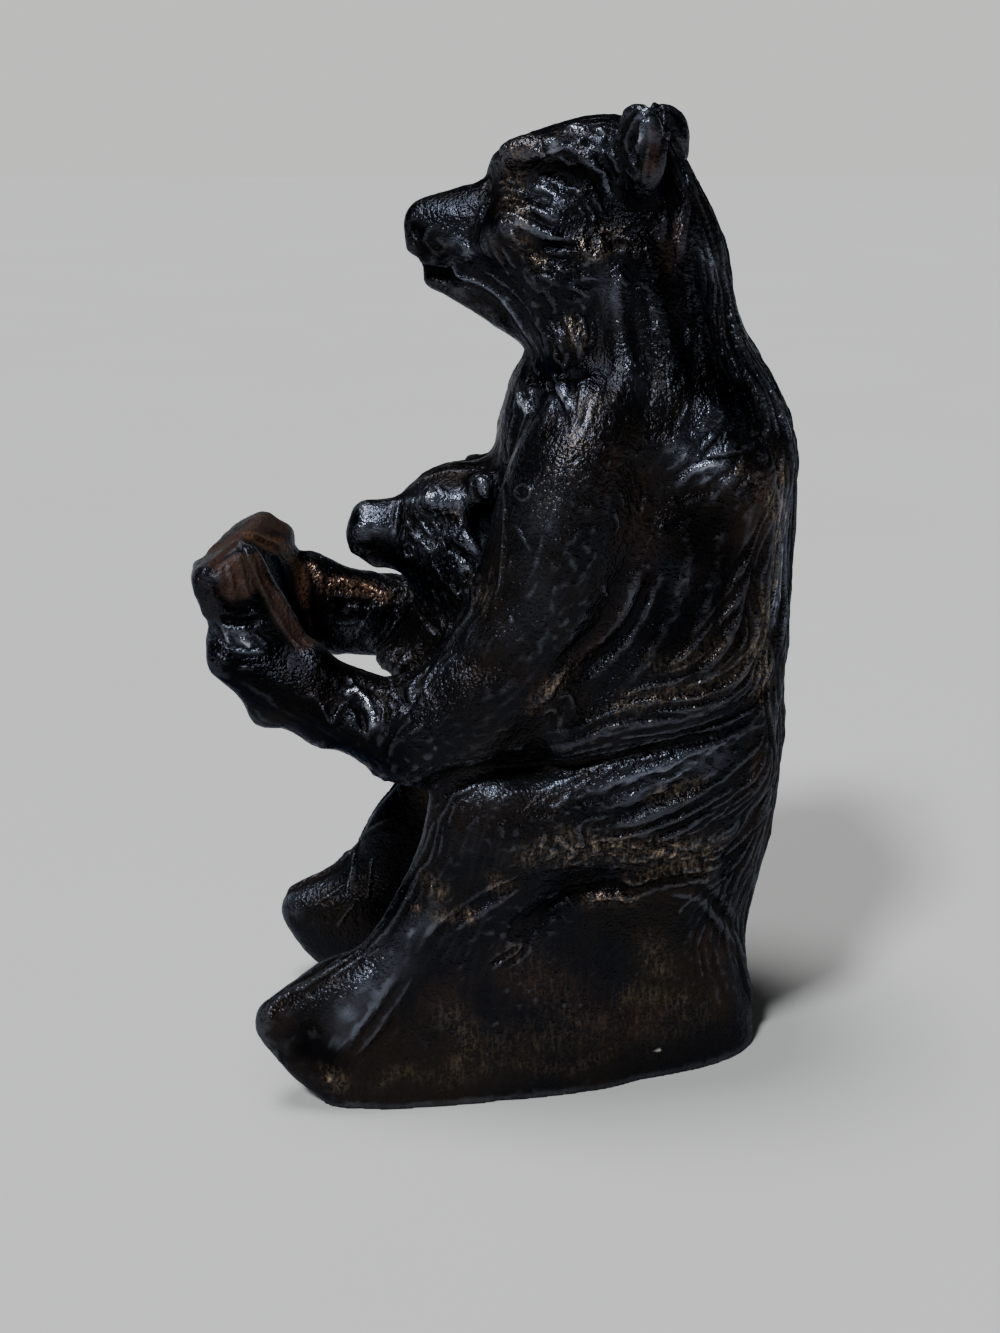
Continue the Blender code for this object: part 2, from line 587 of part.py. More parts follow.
class Sculpture:
    """The clay's points and normals, with the strokes that carve them. Lengths are in shares."""

    def __init__(self, mesh):
        self.mesh = mesh
        points = np.empty(len(mesh.vertices) * 3, np.float32)
        mesh.vertices.foreach_get("co", points)
        self.points = points.reshape(-1, 3).astype(float) / SHARE
        self.read_normals()

    def read_normals(self):
        """Takes the normals from the mesh as it is now."""
        normals = np.empty(len(self.points) * 3, np.float32)
        self.mesh.vertices.foreach_get("normal", normals)
        self.normals = normals.reshape(-1, 3).astype(float)

    def write(self):
        """Puts the carved points back into the mesh."""
        self.mesh.vertices.foreach_set("co", (self.points * SHARE).astype(np.float32).ravel())
        self.mesh.update()
        self.read_normals()

    def seen(self, turn_deg):
        """Points and normals as they are before a part is turned on the upright pivot."""
        turn = np.array(Matrix.Rotation(math.radians(turn_deg), 3, "Z"))
        pivot = np.array([*HEAD_PIVOT, 0])
        return (self.points - pivot) @ turn + pivot, self.normals @ turn

    def carve(self, line, width, depth, turn_deg=0.0, view=1, fading=False):
        """A groove drawn on one view and pressed in along the normals of the faces seen there.

        View 1 is drawn on y and z for both flanks. View 0 is drawn on x and z for the back.
        A fading groove runs out at both of its ends.
        """
        points, normals = self.seen(turn_deg)
        flat = points[:, [view, 2]]
        line = smooth_stations(line)
        away = np.full(len(points), np.inf)
        along = np.zeros(len(points))
        for i, (start, end) in enumerate(zip(line, line[1:])):
            run = end - start
            share = np.clip((flat - start) @ run / (run @ run), 0, 1)
            distance = np.linalg.norm(flat - start - share[:, None] * run, axis=1)
            along = np.where(distance < away, (i + share) / (len(line) - 1), along)
            away = np.minimum(away, distance)
        towards = np.abs(normals[:, 0]) if view else normals[:, 1] * (points[:, 1] > BACK_STARTS)
        seen = np.clip((towards - LEAST_FACING) / (FULL_FACING - LEAST_FACING), 0, 1)
        if view:
            seen *= normals[:, 0] * points[:, 0] > 0
        if fading:
            seen *= np.sqrt(np.clip(4 * along * (1 - along), 0, 1))
        self.points -= self.normals * (depth * np.exp(-((away / width) ** 2)) * seen)[:, None]

    def hollow(self, centre, radii, depth, direction, turn_deg=0.0):
        """A round hollow pressed in along a direction, where the surface faces it."""
        points, normals = self.seen(turn_deg)
        direction = np.array(direction, float) / np.linalg.norm(direction)
        away = np.linalg.norm((points - centre) / np.array(radii, float), axis=1)
        press = depth * np.exp(-(away**2)) * np.clip(-(normals @ direction), 0, 1)
        turn = np.array(Matrix.Rotation(math.radians(turn_deg), 3, "Z"))
        self.points += (turn @ direction) * press[:, None]


def between(first, last, share):
    """A line part of the way from one guide line to another."""
    return [tuple((1 - share) * np.array(a) + share * np.array(b)) for a, b in zip(first, last)]


def carve_fur(sculpture):
    """The main grooves between locks of fur on both flanks and down the back."""
    families = (
        (FUR_GUIDE_FRONT, FUR_GUIDE_BACK, FUR_GROOVES),
        (HAUNCH_GUIDE_TOP, HAUNCH_GUIDE_BOTTOM, HAUNCH_GROOVES),
        (NECK_GUIDE_FRONT, NECK_GUIDE_BACK, NECK_GROOVES),
    )
    for first, last, count in families:
        for i in range(count):
            line = between(first, last, (i + 0.5) / count)
            sculpture.carve(line, FUR_GROOVE_WIDTH, FUR_GROOVE_DEPTH, fading=True)
    for middle in BACK_GROOVES:
        for i in range(-BACK_GROOVES_A_SIDE, BACK_GROOVES_A_SIDE + 1):
            line = []
            for (x, z), spread in zip(middle, BACK_GROOVE_SPREAD):
                sway = BACK_GROOVE_SWAY * math.sin(BACK_GROOVE_SWAY_STEP * i + z)
                line.append((x + i * BACK_GROOVE_SPACING * spread + sway, z))
            sculpture.carve(line, FUR_GROOVE_WIDTH, FUR_GROOVE_DEPTH, view=0, fading=True)
    sculpture.write()


def carve_features(sculpture):
    """Creases of the bodies, the features of both faces and the cups of the ears."""
    for line, width, depth in BODY_CREASES:
        sculpture.carve(line, width, depth)
    for line in CHEST_TUFTS:
        sculpture.carve(line, FINE_LINE_WIDTH, FINE_LINE_DEPTH, fading=True)
    for line, width, depth in HEAD_CREASES:
        sculpture.carve(line, width, depth, HEAD_TURN_DEG)
    for line in RUFF_LINES:
        sculpture.carve(line, FINE_LINE_WIDTH, FINE_LINE_DEPTH, HEAD_TURN_DEG, fading=True)
    sculpture.write()
    for table, turn_deg in ((HEAD_HOLLOWS, HEAD_TURN_DEG), (CUB_HOLLOWS, 0.0)):
        for (x, y, z), radii, depth, (inward, *rest) in table:
            for side in (1, -1):
                direction = (side * inward, *rest)
                sculpture.hollow((side * x, y, z), radii, depth, direction, turn_deg)
    for shape, side in ((NEAR_EAR, 1), (FAR_EAR, -1)):
        x, y, z = shape["centre"]
        cup = (x + EAR_CUP_OUT * side, y - EAR_CUP_FORWARD, z + EAR_CUP_UP)
        sculpture.hollow(cup, EAR_CUP_RADII, EAR_CUP_DEPTH, (-side, 0.8, 0), HEAD_TURN_DEG)
    x, y, z = CUB_EARS["centre"]
    for side in (1, -1):
        cup = (side * (x + EAR_CUP_OUT / 2), y - EAR_CUP_FORWARD / 2, z)
        sculpture.hollow(cup, CUB_EAR_CUP_RADII, CUB_EAR_CUP_DEPTH, (-side, 0.8, 0))
    sculpture.write()


def patina():
    """Dark brown foundry patina."""
    material = bpy.data.materials.new("patina")
    material.use_nodes = True
    shader = material.node_tree.nodes["Principled BSDF"]
    shader.inputs["Base Color"].default_value = PATINA_COLOUR
    shader.inputs["Roughness"].default_value = PATINA_ROUGHNESS
    shader.inputs["Metallic"].default_value = PATINA_METALLIC
    return material


def centre_over_origin(mesh):
    """Puts the middle of the casting over the origin. The ground stays at zero."""
    points = np.empty(len(mesh.vertices) * 3, np.float32)
    mesh.vertices.foreach_get("co", points)
    points = points.reshape(-1, 3)
    middle = (points.min(axis=0) + points.max(axis=0)) / 2
    mesh.transform(Matrix.Translation((-middle[0], -middle[1], 0)))


def cut_flat(obj, collection):
    """Cuts the casting flat at the ground, where it stands."""
    side = FIGURE_HEIGHT * 2
    block = bmesh.new()
    bmesh.ops.create_cube(block, size=side, matrix=Matrix.Translation((0, 0, -side / 2)))
    mesh = bpy.data.meshes.new("below_ground")
    block.to_mesh(mesh)
    block.free()
    below = bpy.data.objects.new("below_ground", mesh)
    below.hide_render = True
    below.display_type = "WIRE"
    collection.objects.link(below)
    cut = obj.modifiers.new("flat underside", "BOOLEAN")
    cut.operation = "DIFFERENCE"
    cut.solver = "EXACT"
    cut.object = below


def main():
    for obj in list(bpy.data.objects):
        bpy.data.objects.remove(obj)
    casting = bpy.data.collections.new("bear_bookend")
    cutters = bpy.data.collections.new("cutters")
    for collection in (casting, cutters):
        bpy.context.scene.collection.children.link(collection)

    soft = modelled("soft_clay", soft_masses, CLAY_VOXEL, BODY_SMOOTHING_PASSES)
    whole = modelled("whole_clay", crisp_masses, CLAY_VOXEL, JOINED_SMOOTHING_PASSES, soft)
    sculpture = Sculpture(whole)
    carve_fur(sculpture)
    carve_features(sculpture)
    mesh = fused("carved_clay", whole, FINISHED_VOXEL, CARVED_SMOOTHING_PASSES)
    centre_over_origin(mesh)

    mesh.name = "bear_and_cub_casting"
    obj = bpy.data.objects.new("bear_and_cub_casting", mesh)
    casting.objects.link(obj)
    thin = obj.modifiers.new("fewer faces", "DECIMATE")
    mesh.calc_loop_triangles()
    thin.ratio = SOLID_TRIANGLES / len(mesh.loop_triangles)
    cut_flat(obj, cutters)
    mesh.materials.clear()
    mesh.materials.append(patina())
    mesh.shade_smooth()


main()
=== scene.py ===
"""Bear bookend: one bronze casting of a mother bear who holds an open book for the cub in her lap.

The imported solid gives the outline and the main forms. This script lays a fine skin over it, carves
both bears' features and coat into that skin where the photograph shows them, and gives it the patina.
"""

import logging
import math
import random
from dataclasses import dataclass, field
from enum import Enum
from functools import partial

import bmesh
import bpy
import numpy as np
from mathutils import Matrix, Vector, noise
from mathutils.bvhtree import BVHTree
from mathutils.kdtree import KDTree


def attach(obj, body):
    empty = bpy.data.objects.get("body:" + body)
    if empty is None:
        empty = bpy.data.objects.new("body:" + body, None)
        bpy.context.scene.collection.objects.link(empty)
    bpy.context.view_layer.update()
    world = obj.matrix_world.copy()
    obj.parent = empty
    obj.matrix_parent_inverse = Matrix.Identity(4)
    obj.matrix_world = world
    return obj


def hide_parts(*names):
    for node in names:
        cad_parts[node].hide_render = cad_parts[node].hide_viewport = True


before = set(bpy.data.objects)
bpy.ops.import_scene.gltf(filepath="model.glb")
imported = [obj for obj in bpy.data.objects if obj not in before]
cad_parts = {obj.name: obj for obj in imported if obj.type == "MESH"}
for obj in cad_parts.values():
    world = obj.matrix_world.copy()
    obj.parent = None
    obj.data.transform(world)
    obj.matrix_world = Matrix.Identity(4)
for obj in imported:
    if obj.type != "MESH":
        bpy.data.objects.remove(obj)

log = logging.getLogger("bear_bookend")

MM = 0.001
PATH_STEP = 0.45 * MM
Colour = tuple[float, float, float, float]
Spot = tuple[float, float]
# A drawn line is written as its spots in the photograph's picture, each as column,row.
Line = str


def hill(across: np.ndarray, middle: float = 0.0, width: float = 1.0) -> np.ndarray:
    """Returns the heights of a rounded hill of height 1."""
    return np.exp(-(((across - middle) / width) ** 2))


class Tool(Enum):
    """The modelling tools that a line is worked with."""

    GOUGE = "a groove with small lips pushed up beside it"
    BEAD = "a rounded strand laid on the surface"
    LAP = "one lock that overlaps the next, raised on one side and cut in on the other"

    def profile(self, away: np.ndarray, side: np.ndarray) -> np.ndarray:
        """Gives the section of the tool's mark.

        Args:
            away: Distances from the path, in half widths of the mark.
            side: Side of the path that each lies on, as -1 or 1.

        Returns:
            Heights over the surface, of which 1 is the mark's own height.
        """
        if self is Tool.GOUGE:
            return 0.3 * hill(away, 1.7, 0.6) - hill(away)
        if self is Tool.BEAD:
            return hill(away) - 0.3 * hill(away, 1.8, 0.7)
        return 0.7 * hill(away * side, 0.8, 0.8) - hill(away * side, -0.45, 0.55)


class Twin(Enum):
    """Where else a detail is repeated, because the casting has two sides."""

    NONE = "only where the photograph shows it"
    BODY = "mirrored to her right side"
    HEAD = "mirrored to the other side of her turned head"


class Tint(Enum):
    """The numbers that each point of the skin carries for the tools and the patina."""

    # Polished swells, with painted highlights dabbed where they catch the light
    POLISH_AND_HIGHLIGHT = "polish_and_highlight"
    GOLD = "gold"
    COPPER = "copper"
    RUST = "rust"
    # Painted shade in the hollows and under the forms, and the black of the nose and the book's corner
    BLACK_PATINA_AND_PAINTED_SHADE = "black_patina_and_painted_shade"
    BOOK = "book"
    UMBER = "umber"
    CHIP = "chip"
    SMOOTH = "smooth"
    CRUMPLE = "crumple"
    RISE = "rise"
    ACROSS = "across"
    HAIR = "hair"


def add_object(name: str, data: bpy.types.ID) -> bpy.types.Object:
    """Puts a new object with this data into the scene."""
    obj = bpy.data.objects.new(name, data)
    bpy.context.scene.collection.objects.link(obj)
    return obj


def add_shape(name: str, shape: bmesh.types.BMesh) -> bpy.types.Object:
    """Puts a finished bmesh into the scene as an object, and frees it."""
    mesh = bpy.data.meshes.new(name)
    shape.to_mesh(mesh)
    shape.free()
    return add_object(name, mesh)


def vectors_of(mesh: bpy.types.Mesh, name: str) -> np.ndarray:
    """Returns one vector per vertex, such as its place or its normal."""
    flat = np.empty(len(mesh.vertices) * 3, np.float32)
    mesh.vertices.foreach_get(name, flat)
    return flat.reshape(-1, 3).astype(float)


def edges_of(mesh: bpy.types.Mesh) -> np.ndarray:
    """Returns the first vertex of every edge and the second one, as two rows."""
    pairs = np.empty(len(mesh.edges) * 2, np.int32)
    mesh.edges.foreach_get("vertices", pairs)
    return pairs.reshape(-1, 2).T


def neighbour_counts(one: np.ndarray, two: np.ndarray, count: int) -> np.ndarray:
    """Returns how many neighbours each point has, from the ends of the edges."""
    return np.bincount(one, minlength=count) + np.bincount(two, minlength=count)


def neighbour_sums(
    values: np.ndarray, one: np.ndarray, two: np.ndarray, own: float = 0.0
) -> np.ndarray:
    """Adds up the values of each point's neighbours.

    Args:
        values: One row of values per point.
        one: First point of each edge.
        two: Second point of each edge.
        own: Weight of the point's own values in the sum.

    Returns:
        One row of sums per point.
    """
    count = len(values)
    columns = [
        own * column + np.bincount(one, column[two], count) + np.bincount(two, column[one], count)
        for column in values.T
    ]
    return np.stack(columns, 1)


def tree_of(points: np.ndarray) -> KDTree:
    tree = KDTree(len(points))
    for i, point in enumerate(points):
        tree.insert(point, i)
    tree.balance()
    return tree


def spots(line: Line) -> list[Spot]:
    """Reads the spots of a drawn line."""
    return [tuple(float(number) for number in spot.split(",")) for spot in line.split()]


def smooth_line(line: Line, steps: int = 4) -> list[Spot]:
    """Adds spots between the drawn ones, on a Catmull-Rom curve through them.

    Args:
        line: The drawn line.
        steps: Pieces that each stretch is divided into.

    Returns:
        The spots of the curve.
    """
    known = np.array(spots(line))
    ends = np.vstack([2 * known[0] - known[1], known, 2 * known[-1] - known[-2]])
    finer: list[Spot] = []
    for before, start, end, after in zip(ends, ends[1:], ends[2:], ends[3:]):
        for t in np.arange(steps) / steps:
            curve = 2 * start + (end - before) * t
            curve += (2 * before - 5 * start + 4 * end - after) * t**2
            curve += (3 * start - before - 3 * end + after) * t**3
            finer.append(tuple(curve / 2))
    return finer + [tuple(known[-1])]


@dataclass(frozen=True)
class Viewpoint:
    """The photograph's camera. Details are placed by where they show in its picture.

    Attributes:
        picture: Width and height of the photograph in pixels.
        lens_mm: Focal length on the sensor below.
        sensor_mm: Longer side of the sensor.
        distance_m: Level distance from the casting's middle.
        height_m: Height over the ground.
        pitch_deg: How far the camera looks down.
        yaw_deg: How far it stands towards the bears' front.
        aside_m: Shift along the ground that centres the casting in the picture.
        nearest_m: Nearest thing that the camera shows.
    """

    picture: tuple[int, int] = (1000, 1333)
    lens_mm: float = 47.3
    sensor_mm: float = 36.0
    distance_m: float = 0.294
    height_m: float = 0.165
    pitch_deg: float = 17.8
    yaw_deg: float = 4.0
    aside_m: float = 0.001
    nearest_m: float = 0.01

    def matrix(self) -> Matrix:
        """Returns the camera's place in the world."""
        yaw = Matrix.Rotation(math.radians(-self.yaw_deg), 4, "Z")
        place = Matrix.Translation((self.distance_m, 0, self.height_m))
        side_on = Matrix.Rotation(math.radians(90), 4, "Z")
        pitch = Matrix.Rotation(math.radians(90 - self.pitch_deg), 4, "X")
        return Matrix.Translation((0, self.aside_m, 0)) @ yaw @ place @ side_on @ pitch

    def ray(self, spot: Spot) -> tuple[Vector, Vector]:
        """Finds the line of sight through a spot of the picture.

        Args:
            spot: Pixel column and row.

        Returns:
            The camera's place and the direction of sight.
        """
        width, height = self.picture
        focal = self.lens_mm / self.sensor_mm * height
        towards = Vector(((spot[0] - width / 2) / focal, (height / 2 - spot[1]) / focal, -1))
        place = self.matrix()
        return place.translation, (place.to_3x3() @ towards).normalized()

    def place_camera(self) -> None:
        """Puts the scene's camera at this viewpoint."""
        camera = bpy.data.cameras.new("photograph_camera")
        camera.lens = self.lens_mm
        camera.sensor_width = self.sensor_mm
        camera.clip_start = self.nearest_m
        holder = add_object("photograph_camera", camera)
        holder.matrix_world = self.matrix()
        bpy.context.scene.camera = holder


@dataclass(frozen=True)
class HeadTurn:
    """How her head is turned on the neck, which the twin of each face detail follows."""

    turn_deg: float = -10.0
    pivot_y_m: float = 0.020

    def other_side(self, point: Vector) -> Vector:
        """Returns the twin of a point on the head's other side."""
        pivot = Matrix.Translation((0, self.pivot_y_m, 0))
        turn = pivot @ Matrix.Rotation(math.radians(self.turn_deg), 4, "Z") @ pivot.inverted()
        straight = turn.inverted() @ point
        return turn @ Vector((-straight.x, straight.y, straight.z))


@dataclass(frozen=True)
class Pull:
    """One shift of the form, to meet the outline in the photograph.

    Attributes:
        spot: Spot of the picture.
        depth: How far to her left of the middle the sight line is met, in millimetres.
        back: Shift towards her back in millimetres.
        up: Shift upwards in millimetres.
        radius: How far around the spot the form follows, in millimetres.
        thick: How far along the width it follows, in millimetres.
        out: Shift outwards on both sides, in millimetres.
    """

    spot: Spot
    depth: float
    back: float
    up: float
    radius: float
    thick: float = 60.0
    out: float = 0.0


class Skin:
    """The casting's surface while it is worked.

    Points are in metres, and every tool changes only the height over the surface until settle is
    called.
    """

    CELL = 3.0 * MM
    CELLS_BELOW_ORIGIN = 64
    CELL_KEYS = np.array([1, 256, 65536])
    MARK_REACH = 3.2
    SWELL_REACH = 1.9
    TINT_REACH = 1.8

    def __init__(self, mesh: bpy.types.Mesh, view: Viewpoint, head: HeadTurn) -> None:
        """Takes up a surface.

        Args:
            mesh: The mesh that is worked.
            view: Camera in whose picture the details are placed.
            head: How her head is turned.
        """
        self.mesh = mesh
        self.view = view
        self.head = head
        self.points = vectors_of(mesh, "co")
        self.normals = vectors_of(mesh, "normal")
        self.height = np.zeros(len(self.points))
        self.tints: dict[Tint, np.ndarray] = {}
        self.settle()

    def settle(self) -> None:
        """Turns the heights into shape and gets the surface ready for the next tools."""
        self.points += self.normals * self.height[:, None]
        self.mesh.vertices.foreach_set("co", self.points.astype(np.float32).ravel())
        self.mesh.update()
        self.normals = vectors_of(self.mesh, "normal")
        self.height = np.zeros(len(self.points))
        corners = np.empty(len(self.mesh.loops), np.int32)
        self.mesh.loops.foreach_get("vertex_index", corners)
        starts = np.empty(len(self.mesh.polygons), np.int32)
        self.mesh.polygons.foreach_get("loop_start", starts)
        faces = np.split(corners, starts[1:])
        self.bvh = BVHTree.FromPolygons(self.points.tolist(), [f.tolist() for f in faces])
        keys = self._cells(self.points) @ self.CELL_KEYS
        self.cell_order = np.argsort(keys, kind="stable")
        self.cell_keys, firsts = np.unique(keys[self.cell_order], return_index=True)
        self.cell_first = np.append(firsts, len(keys))

    def _cells(self, points: np.ndarray) -> np.ndarray:
        """Returns the cube that each point lies in."""
        return np.floor(points / self.CELL).astype(np.int64) + self.CELLS_BELOW_ORIGIN

    def near(self, path: np.ndarray, reach: float) -> np.ndarray:
        """Finds the vertices around a path.

        Args:
            path: Points of the path.
            reach: How far from the path a vertex may lie.

        Returns:
            Indices of at least all the vertices in reach.
        """
        steps = int(math.ceil(reach / self.CELL))
        around = np.arange(-steps, steps + 1)
        offsets = np.stack(np.meshgrid(around, around, around), -1).reshape(-1, 3)
        cells = np.unique(self._cells(path), axis=0)
        keys = np.unique(((cells[:, None] + offsets[None]) @ self.CELL_KEYS).ravel())
        where = np.searchsorted(self.cell_keys, keys)
        found = [
            self.cell_order[self.cell_first[i] : self.cell_first[i + 1]]
            for i, key in zip(where, keys)
            if i < len(self.cell_keys) and self.cell_keys[i] == key
        ]
        return np.concatenate(found) if found else np.empty(0, int)

    def around(self, centre: Vector, reach: float) -> tuple[np.ndarray, np.ndarray]:
        """Finds the vertices around a point, and their squared distances from it."""
        middle = np.array(centre)
        chosen = self.near(middle[None], reach)
        off = self.points[chosen] - middle
        return chosen, np.einsum("ij,ij->i", off, off)

    def spot(self, spot: Spot) -> Vector | None:
        """Returns the surface point that shows at a spot of the picture, or None beside it."""
        return self.bvh.ray_cast(*self.view.ray(spot))[0]

    def snap(self, point: Vector) -> Vector:
        """Returns the nearest point of the surface."""
        return self.bvh.find_nearest(point)[0]

    def lay(self, line: Line, step: float = PATH_STEP) -> np.ndarray:
        """Lays a drawn line on the surface as a smooth path.

        Args:
            line: The drawn line.
            step: Distance between the points of the path.

        Returns:
            Points of the path, or none where the line misses the casting.
        """
        known = [p for p in (self.spot(s) for s in smooth_line(line)) if p]
        return self.along(np.array(known), step) if len(known) > 1 else np.empty((0, 3))

    def along(self, points: np.ndarray, step: float) -> np.ndarray:
        """Spaces the points of a path evenly and keeps them on the surface."""
        run = np.append(0, np.cumsum(np.linalg.norm(np.diff(points, axis=0), axis=1)))
        even = np.linspace(0, run[-1], max(3, int(run[-1] / step)))
        spaced = np.stack([np.interp(even, run, points[:, i]) for i in range(3)], 1)
        return np.array([self.snap(Vector(p)) for p in spaced])

    def twins(self, path: np.ndarray, twin: Twin) -> list[np.ndarray]:
        """Returns the path, with its twin on the other side where it has one."""
        if twin is Twin.NONE or not len(path):
            return [path]
        if twin is Twin.HEAD:
            far = [self.head.other_side(Vector(p)) for p in path]
        else:
            far = [Vector((-x, y, z)) for x, y, z in path]
        return [path, np.array([self.snap(p) for p in far])]

    def places(self, spot: Spot, twin: Twin) -> list[Vector]:
        """Returns the surface point at a spot of the picture and its twin, or none beside it."""
        place = self.spot(spot)
        return [Vector(p[0]) for p in self.twins(np.array([place]), twin)] if place else []

    def work(self, path: np.ndarray, width: float, height: float, tool: Tool, fade: float) -> None:
        """Draws one tool along a path.

        Args:
            path: Points of the path.
            width: Half width of the mark.
            height: Depth of a groove or height of a strand.
            tool: The tool.
            fade: Share of the path over which each end runs out.
        """
        if len(path) < 2:
            return
        chosen = self.near(path, width * self.MARK_REACH)
        points = self.points[chosen]
        normals = self.normals[chosen]
        best = np.full(len(chosen), np.inf)
        share = np.zeros(len(chosen))
        side = np.zeros(len(chosen))
        for i, (start, end) in enumerate(zip(path, path[1:])):
            run = end - start
            length = max(run @ run, 1e-12)
            t = np.clip((points - start) @ run / length, 0, 1)
            off = points - start - t[:, None] * run
            distance = np.einsum("ij,ij->i", off, off)
            closer = distance < best
            best[closer] = distance[closer]
            share[closer] = (i + t[closer]) / (len(path) - 1)
            aside = np.einsum("ij,ij->i", np.cross(normals[closer], run), off[closer])
            side[closer] = np.sign(aside)
        strength = 1.0
        if fade > 0:
            ends = np.clip(np.minimum(share, 1 - share) / fade, 0, 1)
            strength = ends * ends * (3 - 2 * ends)
        self.height[chosen] += height * tool.profile(np.sqrt(best) / width, side) * strength

    def swell(self, centre: Vector, radius: float, height: float) -> None:
        """Raises a soft lump, or presses a hollow where the height is negative.

        Args:
            centre: Middle of the lump on the surface.
            radius: Its radius.
            height: Its height.
        """
        chosen, square = self.around(centre, radius * self.SWELL_REACH)
        self.height[chosen] += height * np.exp(-square / radius**2)

    def pull(self, pull: Pull) -> None:
        """Shifts part of the form, as described at Pull."""
        eye, sight = self.view.ray(pull.spot)
        middle = np.array(eye + sight * ((pull.depth * MM - eye.x) / sight.x))
        off = (self.points - middle) / MM
        across = (off[:, 1] ** 2 + off[:, 2] ** 2) / pull.radius**2
        share = np.exp(-across - (off[:, 0] / pull.thick) ** 2)
        self.points[:, 1] += share * pull.back * MM
        self.points[:, 2] += share * pull.up * MM
        if pull.out:
            other = np.exp(-across - ((off[:, 0] + 2 * pull.depth) / pull.thick) ** 2)
            self.points[:, 0] += (share - other) * pull.out * MM

    def fill(self, centre: Vector, radius: float, rounds: int = 500) -> None:
        """Fills a hollow until it runs flush with what is around it, and leaves the swells.

        Args:
            centre: Middle of the hollow on the surface.
            radius: How far around it is filled.
            rounds: Steps of the filling.
        """
        middle = np.array(centre)
        chosen = self.near(middle[None], radius)
        place = np.full(len(self.points), -1)
        place[chosen] = np.arange(len(chosen))
        one, two = place[edges_of(self.mesh)]
        inside = (one >= 0) & (two >= 0)
        one, two = one[inside], two[inside]
        points = self.points[chosen]
        normals = self.normals[chosen]
        away = np.linalg.norm(points - middle, axis=1) / radius
        share = np.clip(1.6 * (1 - away), 0, 1)
        degree = np.maximum(neighbour_counts(one, two, len(chosen)), 1)
        for _ in range(rounds):
            average = neighbour_sums(points, one, two) / degree[:, None]
            rise = np.einsum("ij,ij->i", average - points, normals)
            points += normals * (np.maximum(rise, 0) * share)[:, None]
        self.points[chosen] = points

    def tint(self, tint: Tint, centre: Vector, radius: float, strength: float) -> None:
        """Dabs a tint on the surface.

        Args:
            tint: The tint.
            centre: Middle of the dab.
            radius: Its radius.
            strength: Its strength in the middle.
        """
        layer = self.tints.setdefault(tint, np.zeros(len(self.points)))
        chosen, square = self.around(centre, radius * self.TINT_REACH)
        layer[chosen] = np.maximum(layer[chosen], strength * np.exp(-square / radius**2))


@dataclass(frozen=True)
class Mark:
    """One line of modelling: tool, half width and height in millimetres, line and fade of its ends."""

    tool: Tool
    width: float
    height: float
    line: Line
    fade: float = 0.3


@dataclass(frozen=True)
class Lump:
    """One soft lump or hollow: spot, radius and height in millimetres."""

    spot: Spot
    radius: float
    height: float


@dataclass(frozen=True)
class Fill:
    """One hollow that is filled until it runs flush: spot and radius in millimetres."""

    spot: Spot
    radius: float


@dataclass(frozen=True)
class Dab:
    """One dab of a tint: radius in millimetres, strength, and the line or the spot that it covers."""

    tint: Tint
    radius: float
    strength: float
    line: Line


@dataclass(frozen=True)
class Cut:
    """How the strokes of one kind of fur are cut.

    Attributes:
        length: Length of a stroke in metres.
        width: Half width of a stroke in metres.
        depth: Depth of a stroke in metres.
        spacing: Least distance between the middles of strokes in metres.
        sway_deg: How far a stroke sways from its course.
        reach: How far from its guide line the fur goes, in metres.
        hair: How strong its fine hairs are, from 0 to 1.
    """

    length: float
    width: float
    depth: float
    spacing: float
    sway_deg: float
    reach: float
    hair: float


class Coat(Enum):
    """The kinds of fur, by how their strokes are cut."""

    STRAND = Cut(20.0 * MM, 0.52 * MM, 0.28 * MM, 2.1 * MM, 6, 10.0 * MM, 1.0)
    LOCK = Cut(10.0 * MM, 0.75 * MM, 0.40 * MM, 2.7 * MM, 14, 9.0 * MM, 0.75)
    TUFT = Cut(5.0 * MM, 0.60 * MM, 0.36 * MM, 2.0 * MM, 24, 7.0 * MM, 0.45)
    FINE = Cut(8.0 * MM, 0.40 * MM, 0.10 * MM, 2.4 * MM, 12, 9.0 * MM, 0.5)
    CURL = Cut(3.0 * MM, 0.42 * MM, 0.34 * MM, 1.25 * MM, 60, 4.5 * MM, 0.2)


@dataclass(frozen=True)
class Guide:
    """A line that the fur around it follows, with its part's twin unless it has its own."""

    coat: Coat
    line: Line
    twin: Twin | None = None


Pulls = tuple[Pull, ...]
Fills = tuple[Fill, ...]
Lumps = tuple[Lump, ...]
Marks = tuple[Mark, ...]
Dabs = tuple[Dab, ...]
Guides = tuple[Guide, ...]


